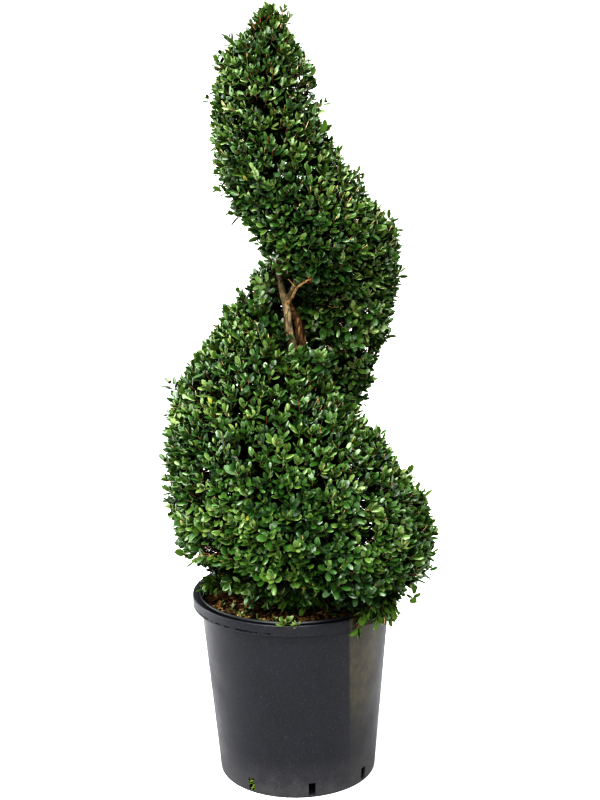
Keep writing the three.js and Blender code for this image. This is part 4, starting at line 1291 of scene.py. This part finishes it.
def under_point(angle, share):
    """The flat underside of the lowest turn, from the hollow out to the clipped edge."""
    z = np.full(np.shape(angle), FOLIAGE_FOOT - UNDERSIDE["below"])
    inner = curve(HOLLOW_RADIUS, z)
    edge = band_radius(angle, z + UNDERSIDE["edge"])
    return on_band(angle, inner + (edge - inner) * share, z)


def under_normal(angle, share):
    """The underside faces down, and outwards at its edge."""
    a = np.radians(angle)
    out = UNDERSIDE["out"] + UNDERSIDE["out_at_edge"] * share
    return unit(np.stack((np.cos(a) * out, np.sin(a) * out, UNDERSIDE["down"] + 0 * a), -1))


def loose_shoots(foot, bend, end, way, length, size, tone, random):
    """Shoots that stand free of the clipped surface; tone is the mean and spread of their patch."""
    count = len(length)
    return {
        "foot": foot, "bend": bend, "end": end, "way": way, "length": length,
        "turn": random.uniform(0, np.pi, count), "size": random.normal(size, LOOSE["size"], count),
        "patch": random.normal(*tone, count), "loose": np.ones(count, bool),
        "angle": np.zeros(count), "inner": np.zeros(count, bool),
    }


def sprigs(group, seed):
    """Loose shoots that hang out from the foot of the spiral, from a place under it to a goal."""
    random = np.random.default_rng(seed)
    count = group["count"]
    angle = random.uniform(group["from"], group["to"], count)
    base = on_band(angle, np.full(count, group["base"][0]), np.full(count, group["base"][1]))
    reach = random.uniform(*group["reach"], count)
    end = np.stack((
        reach * np.cos(np.radians(angle)), reach * np.sin(np.radians(angle)),
        random.uniform(*group["low"], count),
    ), 1)
    span = np.linalg.norm(end - base, axis=1)
    sway = random.normal(0, SPRIG["sway"], (count, 3))
    bend = (base + end) / 2 + UP * SPRIG["arch"] * span[:, None] + sway
    return loose_shoots(base, bend, end, unit(end - bend), span, group["size"], SPRIG["tone"], random)


def tuft(group, seed):
    """Shoots that end round a place, all growing much the same way."""
    random = np.random.default_rng(seed)
    count = group["count"]
    end = np.array(group["at"]) + random.normal(0, 1, (count, 3)) * group["spread"]
    way = unit(unit(np.array(group["way"])) + random.normal(0, LOOSE["turn"], (count, 3)))
    length = group["length"] * random.uniform(*LENGTH_RANGE, count)
    back = unit(way + np.array(group["from"]))
    foot, bend = end - length[:, None] * back, end - 0.5 * length[:, None] * way
    return loose_shoots(foot, bend, end, way, length, group["size"], (group["tone"], LOOSE["tone"]), random)


# Loose shoots at the foot: over the rim at the front right, and inside the rim at the left and in front
SPRIGS = (
    {"mass": "lower_right", "from": 664, "to": 692, "count": 24, "base": (0.170, 0.395),
     "reach": (0.188, 0.208), "low": (0.322, 0.362), "size": 1.05},
    {"mass": "lower_left", "from": 544, "to": 566, "count": 8, "base": (0.144, 0.400),
     "reach": (0.150, 0.172), "low": (0.360, 0.385), "size": 1.1},
    {"mass": "lower_front", "from": 606, "to": 655, "count": 16, "base": (0.120, 0.400),
     "reach": (0.124, 0.150), "low": (0.366, 0.388), "size": 1.05},
)

# Loose shoots round the bare part of the trunk, and the ones that stand out of the clipped outline. Most of
# them come from behind and below: INWARD is added to their way to find their feet
INWARD = (0.0, -0.5, -0.35)
TUFT_KEYS = ("mass", "count", "at", "spread", "way", "from", "length", "size", "tone")
# The last column raises the tones of a tuft's leaves: the tufts in the recess right of the trunk and those at
# the front of the foot are paler, as painted light on leaves that sit in shade
TUFTS = tuple(dict(zip(TUFT_KEYS, row)) for row in (
    ("lower_front", 14, (0.026, -0.052, 0.796), (0.022, 0.012, 0.008),
     (0.0, -0.5, 0.85), INWARD, 0.04, 1.05, 0.0),
    ("lower_left", 26, (-0.034, -0.006, 0.845), (0.016, 0.016, 0.034),
     (0.1, -0.6, 0.8), INWARD, 0.036, 1.0, 0.0),
    ("upper_front", 12, (-0.05, -0.02, 0.93), (0.01, 0.014, 0.018),
     (-0.3, -0.5, 0.6), INWARD, 0.034, 0.95, 0.0),
    ("middle_back", 24, (0.046, 0.026, 0.885), (0.018, 0.014, 0.032),
     (-0.1, -0.7, 0.5), INWARD, 0.036, 1.05, 0.8),
    ("middle_back", 34, (0.076, 0.004, 0.868), (0.026, 0.016, 0.026),
     (0.0, -0.8, 0.5), INWARD, 0.036, 1.05, 0.9),
    ("middle_back", 22, (0.112, 0.01, 0.838), (0.02, 0.016, 0.022),
     (0.2, -0.8, 0.5), INWARD, 0.036, 1.05, 0.9),
    ("middle_back", 16, (-0.012, 0.042, 0.9), (0.02, 0.012, 0.03),
     (-0.1, -0.8, 0.5), INWARD, 0.034, 1.0, -1.0),
    ("lower_left", 10, (-0.206, -0.04, 0.535), (0.005, 0.04, 0.045),
     (-0.8, -0.2, 0.6), (-0.5, 0.0, -0.35), 0.046, 1.0, 0.0),
    ("middle_back", 30, (0.098, 0.07, 0.745), (0.02, 0.02, 0.03),
     (0.1, -0.8, 0.5), INWARD, 0.036, 1.05, 0.8),
    ("middle_back", 24, (0.07, 0.07, 0.83), (0.03, 0.02, 0.03),
     (0.1, -0.8, 0.5), INWARD, 0.036, 1.05, 0.8),
    ("crown_tip", 5, (-0.094, 0.0, 1.328), (0.01, 0.014, 0.012),
     (-0.5, -0.2, 0.85), (-0.5, 0.0, -0.35), 0.038, 1.0, 0.0),
    ("crown_tip", 6, (-0.028, 0.0, 1.392), (0.012, 0.008, 0.006),
     (0.1, -0.1, 1.0), (0.0, 0.0, 0.1), 0.036, 0.95, 0.0),
    ("crown_tip", 8, (-0.012, 0.0, 1.374), (0.008, 0.01, 0.01),
     (0.5, -0.2, 0.85), (0.3, 0.0, 0.2), 0.034, 0.95, 0.0),
    ("upper_back", 18, (-0.012, 0.012, 1.142), (0.014, 0.008, 0.022),
     (0.1, -0.7, 0.5), INWARD, 0.03, 0.95, 0.0),
    ("upper_back", 16, (0.0, 0.014, 1.205), (0.014, 0.008, 0.03),
     (0.1, -0.7, 0.5), INWARD, 0.03, 0.95, 0.0),
    ("lower_front", 10, (-0.106, -0.108, 0.398), (0.024, 0.012, 0.006),
     (-0.5, -0.8, 0.1), (0.2, 0.3, 0.5), 0.046, 1.05, 0.8),
    ("lower_front", 6, (-0.046, -0.138, 0.386), (0.014, 0.006, 0.005),
     (-0.1, -0.9, 0.1), (0.0, 0.3, 0.5), 0.046, 1.05, 0.8),
    ("lower_front", 7, (0.018, -0.144, 0.384), (0.014, 0.006, 0.005),
     (0.1, -0.9, 0.1), (0.0, 0.3, 0.5), 0.046, 1.05, 0.8),
    ("lower_front", 6, (0.085, -0.144, 0.38), (0.012, 0.006, 0.006),
     (0.1, -0.9, 0.1), (0.0, 0.3, 0.5), 0.046, 1.05, 0.8),
))

# Seedlings in the compost: one over the front lip, and small weeds at these places
STALK = {"seed": 40, "inward": 0.94, "sunk": 18 * MM, "widths": (0.8, 0.75, 0.7, 0.5), "sides": 4}
WEED = {
    "spread": (0.004, 0.004, 0.002), "way": (0.1, -0.3, 0.9), "from": (0.0, 0.0, 0.2), "length": 0.016,
    "size": 0.46, "tone": 4.5,
}
WEED_HEIGHT = 0.338
WEED_PLACES = (
    (-0.097, -0.096, 3), (-0.115, -0.055, 2), (-0.085, -0.072, 3), (-0.071, -0.123, 2), (-0.036, -0.124, 3),
    (-0.135, -0.027, 2),
)
SEEDLINGS = (
    {"at": (-0.008, -0.190, 0.360), "spread": (0.010, 0.003, 0.004), "count": 4, "way": (-0.1, -0.7, 0.6),
     "from": (0.0, 0.1, 0.45), "length": 0.024, "size": 0.85, "tone": 6.0},
    *({**WEED, "at": (x, y, WEED_HEIGHT), "count": count} for x, y, count in WEED_PLACES),
)


def loose_parts(name, seed):
    """The sprigs and tufts of a mass."""
    parts = [sprigs(group, seed + SEED_OF["sprigs"]) for group in SPRIGS if group["mass"] == name]
    for place, group in enumerate(TUFTS):
        if group["mass"] == name:
            parts.append(tuft(group, seed + SEED_OF["tufts"] + place))
    return parts


def masses(foliage):
    """Each mass by name: its shoots, its branches' ends, its bough's tip and direction, and its seed."""
    for number, mass in enumerate(MASSES):
        first, last = mass["from"], mass["to"]
        seed = foliage.seed + SEED_OF["mass"] * number
        closer = UPPER_CLOSER if mass["name"].startswith("upper") else 1.0
        rule = LINING["spacing"] * closer**2, LINING["lean"], LINING["length"]
        lining = grow(hollow_point, hollow_normal, first, last, seed + SEED_OF["lining"], *rule)
        lining["inner"][:] = True
        rule = foliage.spacing * closer, SHELL_LEAN, foliage.shoot
        parts = [
            grow(shell_point, shell_normal, first, last, seed, *rule),
            rooted_inside(lining, lining["angle"], LINING["under"]),
        ]
        if last > UNDERSIDE["from"]:
            start = max(first, UNDERSIDE["from"])
            rule = UNDERSIDE["spacing"], UNDERSIDE["lean"], UNDERSIDE["length"]
            parts.append(grow(under_point, under_normal, start, last, seed + SEED_OF["underside"], *rule))
        parts += loose_parts(mass["name"], seed)
        hubs = hubs_of(shell_point, shell_normal, first, last, foliage, seed)
        places = np.array([p[:3] for p in bough_places(mass)])
        yield "foliage_" + mass["name"], join(parts), hubs, places[-1], unit(places[-1] - places[-2]), seed
    seed = foliage.seed + SEED_OF["mass"] * len(MASSES)
    rule = CROWN_TIP["closer"] * foliage.spacing, CROWN_TIP["lean"], CROWN_TIP["length"]
    shoots = join([grow(tip_point, tip_normal, 0, 360, seed, *rule)] + loose_parts("crown_tip", seed))
    hubs = hubs_of(tip_point, tip_normal, 0, 360, foliage, seed)
    yield "foliage_crown_tip", shoots, hubs, np.array(TRUNK[-1][:3]), UP, seed


# The floor's radius, the sky's share near the horizon, the overhead light and where the softboxes aim
STAGE = {
    "gamma": 0.88, "floor": 600.0, "low_sky": 0.08, "overhead_width": 58, "overhead_turn": (38, -12, 0),
    "aim": (0.0, 0.0, 0.8),
}
# Softboxes: name, place, size, and the setting and share of it that give the power
SOFTBOXES = (
    ("left_softbox", (-2.4, 0.5, 1.2), 2.2, "sides", 1.0),
    ("right_softbox", (2.4, 0.5, 1.2), 2.2, "sides", 0.46),
    ("front_fill", (-0.6, -3.2, 2.2), 2.4, "front", 1.0),
)


# Operators


class TOPIARY_OT_pot(bpy.types.Operator):
    """Pot with a skirted rim, a bead, drain slots and a footed base"""

    bl_idname = "topiary.pot"
    bl_label = "Nursery Pot"

    def execute(self, context):
        settings = context.scene.topiary_pot

        def wall(z):
            return BASE_RADIUS + (MOUTH_RADIUS - BASE_RADIUS) * z / LEDGE_TOP

        rim, skirt_foot, lining = POT_RADIUS, LEDGE_TOP - settings.skirt, settings.wall
        bead = MOUTH_RADIUS - settings.wall
        profile = [
            (2 * MM, 3 * MM), (128 * MM, 3 * MM), (131 * MM, 0.0), (wall(0) - 3 * MM, 0.0),
            (wall(0) - 1.2 * MM, 0.6 * MM), (wall(3 * MM), 3 * MM),
        ]
        profile += [(wall(z), z) for z in np.linspace(20 * MM, LEDGE_TOP - 8 * MM, 12)]
        profile += [
            (wall(LEDGE_TOP - 4 * MM), LEDGE_TOP - 4 * MM),
            (rim - 4 * MM, LEDGE_TOP - 3.4 * MM), (rim - 3.2 * MM, LEDGE_TOP - 4.2 * MM),
            (rim - 3.2 * MM, skirt_foot + 0.6 * MM), (rim - 2.6 * MM, skirt_foot),
            (rim - 0.6 * MM, skirt_foot), (rim, skirt_foot + 0.6 * MM),
            (rim, LEDGE_TOP - 3.2 * MM), (rim - 0.5 * MM, LEDGE_TOP - 1.4 * MM),
            (rim - 1.4 * MM, LEDGE_TOP - 0.5 * MM), (rim - 3 * MM, LEDGE_TOP - 0.1 * MM),
            (bead + 6.2 * MM, LEDGE_TOP - 0.4 * MM), (bead + 5.2 * MM, LEDGE_TOP - 1.2 * MM),
            (bead + 4.4 * MM, LEDGE_TOP - 1.2 * MM), (bead + 3.6 * MM, LEDGE_TOP + 0.6 * MM),
            (bead + 2.6 * MM, POT_TOP - 0.2 * MM), (bead + 1.3 * MM, POT_TOP),
            (bead + 0.3 * MM, POT_TOP - 0.6 * MM), (bead, LEDGE_TOP - 1 * MM),
        ]
        profile += [(wall(z) - lining, z) for z in np.linspace(LEDGE_TOP - 20 * MM, 20 * MM, 6)]
        profile += [(wall(4 * MM) - lining - 2 * MM, 5 * MM), (2 * MM, 5 * MM)]
        piece = lathe("nursery_pot", profile, settings.sides)
        self.cut_slots(piece)
        activate(piece)
        bpy.ops.object.shade_smooth_by_angle(angle=math.radians(POT_SMOOTH))
        finish(piece, ["pot"], [pot_plastic(settings)])
        return {"FINISHED"}

    def cut_slots(self, piece):
        """The drain slots round the foot, cut by one joined block for each."""
        for k in range(SLOT["count"]):
            turn = math.radians(SLOT["turn"] + 360 * k / SLOT["count"])
            deselect()
            at = Vector((math.sin(turn), -math.cos(turn), 0)) * BASE_RADIUS
            at.z = SLOT["foot"] + SLOT["height"] / 2
            bpy.ops.mesh.primitive_cube_add(size=1, location=at, rotation=(0, 0, turn))
            block = bpy.context.object
            block.scale = (SLOT["width"], 2 * SLOT["deep"], SLOT["height"])
            bpy.ops.object.transform_apply(location=True, rotation=True, scale=True)
            cut = piece.modifiers.new("slot", "BOOLEAN")
            cut.operation = "DIFFERENCE"
            cut.solver = "EXACT"
            cut.object = block
            activate(piece)
            bpy.ops.object.modifier_apply(modifier=cut.name)
            bpy.data.objects.remove(block)


class TOPIARY_OT_moss(bpy.types.Operator):
    """Moss that grows out of one drain slot"""

    bl_idname = "topiary.moss"
    bl_label = "Moss in the Slot"

    def execute(self, context):
        random = np.random.default_rng(MOSS["seed"])
        turn = math.radians(MOSS["slot"])
        out = np.array([math.sin(turn), -math.cos(turn), 0.0])
        side = np.array([math.cos(turn), math.sin(turn), 0.0])
        count = MOSS["count"]
        root = (
            out * (BASE_RADIUS - MOSS["depth"]) + side * random.uniform(*MOSS["across"], count)[:, None] * MM
            + UP * (SLOT["foot"] + random.uniform(*MOSS["height"], count) * MM)[:, None]
        )
        way = unit(out + random.normal(0, MOSS["turn"], (count, 3)))
        end = root + way * random.uniform(*MOSS["length"], count)[:, None] * MM
        middle = (root + end) / 2 + random.normal(0, MOSS["bend"], (count, 3))
        radii = np.array(MOSS["radii"])[None] * np.ones((count, 1))
        points, faces, _ = tube_arrays(np.stack((root, middle, end), 1), radii, MOSS["sides"])
        piece = mesh_piece("slot_moss", points, faces)
        finish(piece, [], [plain("moss")])
        return {"FINISHED"}


class TOPIARY_OT_soil(bpy.types.Operator):
    """Compost in the pot, lumpy on top"""

    bl_idname = "topiary.soil"
    bl_label = "Compost"

    def execute(self, context):
        settings = context.scene.topiary_soil
        pot = context.scene.topiary_pot
        inside = MOUTH_RADIUS - pot.wall - SOIL["gap"]
        profile = [(r, SOIL_TOP) for r in np.linspace(SOIL["core"], inside, SOIL["rings"])]
        profile += [(inside - SOIL["taper"], SOIL_TOP - SOIL_DEPTH), (SOIL["core"], SOIL_TOP - SOIL_DEPTH)]
        piece = lathe("compost", profile, SOIL["sides"])
        for vertex in piece.data.vertices:
            if vertex.co.z > SOIL_TOP - SOIL["sunk"]:
                lump = noise.fractal(vertex.co * SOIL["fineness"], *SOIL_GRAIN.values())
                vertex.co.z += settings.relief * lump - SOIL["sunk"]
        activate(piece)
        bpy.ops.object.shade_smooth_by_angle(angle=math.radians(SOIL["smooth"]))
        finish(piece, ["soil"], [compost(settings)])
        return {"FINISHED"}


class TOPIARY_OT_chips(bpy.types.Operator):
    """Bark chips strewn over the compost"""

    bl_idname = "topiary.chips"
    bl_label = "Bark Chips"

    def execute(self, context):
        settings = context.scene.topiary_soil
        random = np.random.default_rng(CHIP["seed"])
        count = settings.chips
        reach = (MOUTH_RADIUS - CHIP["rim_gap"]) * np.sqrt(random.random(count))
        turn = random.uniform(0, 2 * np.pi, count)
        size = settings.chip_length * random.lognormal(*CHIP["size"], count)
        at = np.stack((reach * np.cos(turn), reach * np.sin(turn), 0 * turn + SOIL_TOP), 1)
        at[:, 2] += random.uniform(*CHIP["height"], count) * MM
        long_way = unit(random.normal(0, 1, (count, 3)) * [1, 1, CHIP["level"]])
        flat_way = unit(np.cross(long_way, unit(UP + random.normal(0, CHIP["tilt"], (count, 3)))))
        up_way = np.cross(long_way, flat_way)
        box = np.array([(x, y, z) for z in (-1, 1) for y in (-1, 1) for x in (-1, 1)], float)
        box = box[None] * random.uniform(*CHIP["corners"], (count, 8, 3))
        width = size * random.uniform(*CHIP["width"], count)
        half = np.stack((size / 2, width, size * CHIP["thickness"] + CHIP["least"]), 1)
        box *= half[:, None]
        points = (
            at[:, None] + box[..., :1] * long_way[:, None] + box[..., 1:2] * flat_way[:, None]
            + box[..., 2:] * up_way[:, None]
        )
        quads = [(0, 2, 3, 1), (4, 5, 7, 6), (0, 1, 5, 4), (2, 6, 7, 3), (0, 4, 6, 2), (1, 3, 7, 5)]
        one = np.array([t for a, b, c, d in quads for t in ((a, b, c), (a, c, d))])
        faces = (one[None] + (np.arange(count) * 8)[:, None, None]).reshape(-1, 3)
        tone = random.choice(len(CHIP_TONES), count, p=CHIP_SHARES)
        piece = mesh_piece("bark_chips", points.reshape(-1, 3), faces, np.repeat(tone, len(one)))
        activate(piece)
        bpy.ops.object.mode_set(mode="EDIT")
        bpy.ops.mesh.select_all(action="SELECT")
        bpy.ops.mesh.normals_make_consistent(inside=False)
        bpy.ops.object.mode_set(mode="OBJECT")
        bpy.ops.object.shade_flat()
        finish(piece, [], [plain(name) for name in CHIP_TONES])
        return {"FINISHED"}


class TOPIARY_OT_seedlings(bpy.types.Operator):
    """Seedlings that have come up in the compost"""

    bl_idname = "topiary.seedlings"
    bl_label = "Seedlings"

    def execute(self, context):
        foliage = context.scene.topiary_foliage
        shoots = join([tuft(group, STALK["seed"] + place) for place, group in enumerate(SEEDLINGS)])
        points, faces, tones, rim = leaf_arrays(shoots, foliage, foliage.seed + SEED_OF["seedlings"])
        root = shoots["foot"] * [STALK["inward"], STALK["inward"], 1.0] - UP * STALK["sunk"]
        paths = np.stack([root, shoots["foot"], shoots["bend"], shoots["end"]], 1)
        radii = foliage.twig * np.array(STALK["widths"]) * np.ones((len(paths), 1))
        stalks, stalk_faces, ring = tube_arrays(paths, radii, STALK["sides"])
        faces = np.concatenate((faces, stalk_faces + len(points)))
        points = np.concatenate((points, stalks))
        tones = np.concatenate((tones, 0 * ring + len(LEAF_TONES)))
        rim = np.concatenate((rim, np.zeros(len(stalks), bool)))
        piece = mesh_piece("seedlings", points, faces, tones, rim)
        finish(piece, [], [plain(tone) for tone in LEAF_TONES + ("twig_green",)])
        return {"FINISHED"}


class TOPIARY_OT_stems(bpy.types.Operator):
    """Trunk and rear stem with the relief of their bark"""

    bl_idname = "topiary.stems"
    bl_label = "Trunk and Rear Stem"

    def execute(self, context):
        settings = context.scene.topiary_stems
        tan = bark("corky_box_bark", settings.trunk_colour)
        brown = bark("flaky_box_bark", settings.rear_colour)
        trunk = bark_limb("tree_trunk", "trunk", TRUNK, settings.seed, settings.ring_step)
        finish(trunk, ["trunk"], [tan])
        seed = settings.seed + SEED_OF["rear_stem"]
        rear = bark_limb("back_stem", "rear_stem", REAR_STEM, seed, settings.ring_step)
        finish(rear, ["rear_stem"], [brown])
        return {"FINISHED"}


class TOPIARY_OT_boughs(bpy.types.Operator):
    """Boughs from the stems to each mass"""

    bl_idname = "topiary.boughs"
    bl_label = "Boughs"

    def execute(self, context):
        settings = context.scene.topiary_stems
        material = bpy.data.materials["corky_box_bark"]
        young = bark("smooth_box_bark", YOUNG_BARK)
        for number, mass in enumerate(MASSES):
            seed = settings.seed + number
            piece = bark_limb("limb_" + mass["name"], "bough", bough_places(mass), seed, settings.ring_step)
            finish(piece, ["bough_" + mass["name"]], [material])
        for number, places in enumerate(FORKS):
            seed = settings.seed + SEED_OF["fork"] + number
            fork = bark_limb("fork_" + str(number), "fork", places, seed, settings.ring_step)
            finish(fork, [], [young])
        stub = bark_limb("broken_stub", "stub", STUB, settings.seed, settings.ring_step)
        finish(stub, [], [material])
        return {"FINISHED"}


class TOPIARY_OT_twigs(bpy.types.Operator):
    """Branches and twigs that carry the shoots of each mass"""

    bl_idname = "topiary.twigs"
    bl_label = "Branches and Twigs"

    def execute(self, context):
        foliage = context.scene.topiary_foliage
        for name, shoots, hubs, tip, tip_way, seed in masses(foliage):
            cut_share = CUT_SHARES["right" if "right" in name else "other"]
            points, faces, tones = twig_arrays(shoots, hubs, tip, tip_way, foliage, cut_share, seed)
            piece = mesh_piece(name.replace("foliage", "twigs"), points, faces, tones)
            finish(piece, [name], [plain(tone) for tone in TWIG_TONES])
        return {"FINISHED"}


class TOPIARY_OT_leaves(bpy.types.Operator):
    """Leaves of each mass, in crossed pairs along its shoots"""

    bl_idname = "topiary.leaves"
    bl_label = "Leaves"

    def execute(self, context):
        foliage = context.scene.topiary_foliage
        for name, shoots, _, _, _, seed in masses(foliage):
            points, faces, tones, rim = leaf_arrays(shoots, foliage, seed)
            piece = mesh_piece(name.replace("foliage", "leaves"), points, faces, tones, rim)
            finish(piece, [name], [plain(tone) for tone in LEAF_TONES])
        return {"FINISHED"}


class TOPIARY_OT_stage(bpy.types.Operator):
    """Pale floor, soft white surroundings, softboxes and the camera"""

    bl_idname = "topiary.stage"
    bl_label = "Stage"

    def execute(self, context):
        settings = context.scene.topiary_stage
        scene = context.scene
        scene.view_settings.view_transform = "Standard"
        scene.view_settings.look = "Very High Contrast"
        scene.view_settings.gamma = STAGE["gamma"]
        world = bpy.data.worlds.new("white_surroundings")
        world.use_nodes = True
        tree = world.node_tree
        backdrop = tree.nodes["Background"]
        backdrop.inputs["Color"].default_value = linear("ffffff")
        way = add(tree, "ShaderNodeTexCoord").outputs["Generated"]
        apart = add(tree, "ShaderNodeSeparateXYZ", {"Vector": way})
        level = add(
            tree, "ShaderNodeMapRange",
            {"Value": apart.outputs["Z"], "From Min": -0.1, "From Max": 0.8,
             "To Min": STAGE["low_sky"] * settings.sky, "To Max": settings.sky},
            interpolation_type="SMOOTHSTEP",
        )
        glow = add(
            tree, "ShaderNodeBackground", {"Color": linear("ffffff"), "Strength": level.outputs["Result"]}
        )
        seen = add(tree, "ShaderNodeLightPath").outputs["Is Camera Ray"]
        both = add(
            tree, "ShaderNodeMixShader",
            {0: seen, 1: glow.outputs["Background"], 2: backdrop.outputs["Background"]},
        )
        tree.links.new(both.outputs["Shader"], tree.nodes["World Output"].inputs["Surface"])
        scene.world = world
        deselect()
        bpy.ops.mesh.primitive_circle_add(vertices=96, radius=STAGE["floor"], fill_type="NGON")
        floor = bpy.context.object
        floor.name = "pale_floor"
        paint, _, _ = new_material("pale_floor_paint", Base_Color=linear("d2d2d2"), Roughness=1.0)
        floor.data.materials.append(paint)
        sun = bpy.data.lights.new("overhead_diffuser", "SUN")
        sun.energy = settings.overhead
        sun.angle = math.radians(STAGE["overhead_width"])
        holder = bpy.data.objects.new("overhead_diffuser", sun)
        holder.rotation_euler = [math.radians(turn) for turn in STAGE["overhead_turn"]]
        scene.collection.objects.link(holder)
        for name, place, size, setting, share in SOFTBOXES:
            self.softbox(name, place, size, share * getattr(settings, setting))
        camera = bpy.data.cameras.new("camera")
        camera.sensor_width = SENSOR
        camera.lens = settings.lens
        holder = bpy.data.objects.new("camera", camera)
        place = Matrix.Translation((settings.side, -settings.distance, settings.height))
        holder.matrix_world = place @ camera_turn(settings.pitch, settings.roll)
        scene.collection.objects.link(holder)
        scene.camera = holder
        return {"FINISHED"}

    def softbox(self, name, place, size, power):
        """A square area light that faces the middle of the plant."""
        light = bpy.data.lights.new(name, "AREA")
        light.size = size
        light.energy = power
        holder = bpy.data.objects.new(name, light)
        holder.location = place
        aim = Vector(STAGE["aim"]) - Vector(place)
        holder.rotation_euler = aim.to_track_quat("-Z", "Y").to_euler()
        bpy.context.scene.collection.objects.link(holder)


class TOPIARY_PT_panel(bpy.types.Panel):
    """Sidebar panel that lists the pieces"""

    bl_label = "Box Spiral"
    bl_idname = "TOPIARY_PT_panel"
    bl_space_type = "VIEW_3D"
    bl_region_type = "UI"
    bl_category = "Topiary"

    def draw(self, context):
        for operator in OPERATORS:
            self.layout.operator(operator.bl_idname)
        for name in SETTINGS:
            group = getattr(context.scene, name)
            box = self.layout.box()
            for key in group.bl_rna.properties.keys():
                if key not in ("rna_type", "name"):
                    box.prop(group, key)


OPERATORS = (
    TOPIARY_OT_pot, TOPIARY_OT_moss, TOPIARY_OT_soil, TOPIARY_OT_chips, TOPIARY_OT_seedlings,
    TOPIARY_OT_stems, TOPIARY_OT_boughs, TOPIARY_OT_twigs, TOPIARY_OT_leaves, TOPIARY_OT_stage,
)
SETTINGS = {
    "topiary_pot": PotSettings,
    "topiary_soil": SoilSettings,
    "topiary_stems": StemSettings,
    "topiary_foliage": FoliageSettings,
    "topiary_stage": StageSettings,
}


def register():
    """Registers the settings, the operators and the panel."""
    for name, group in SETTINGS.items():
        bpy.utils.register_class(group)
        setattr(bpy.types.Scene, name, PointerProperty(type=group))
    for operator in OPERATORS:
        bpy.utils.register_class(operator)
    bpy.utils.register_class(TOPIARY_PT_panel)


def unregister():
    """Undoes register."""
    bpy.utils.unregister_class(TOPIARY_PT_panel)
    for operator in reversed(OPERATORS):
        bpy.utils.unregister_class(operator)
    for name, group in reversed(SETTINGS.items()):
        delattr(bpy.types.Scene, name)
        bpy.utils.unregister_class(group)


def main():
    """Registers the add-on and makes every piece."""
    register()
    bpy.ops.topiary.pot()
    bpy.ops.topiary.moss()
    bpy.ops.topiary.soil()
    bpy.ops.topiary.chips()
    bpy.ops.topiary.seedlings()
    bpy.ops.topiary.stems()
    bpy.ops.topiary.boughs()
    bpy.ops.topiary.twigs()
    bpy.ops.topiary.leaves()
    bpy.ops.topiary.stage()


if __name__ == "__main__":
    main()
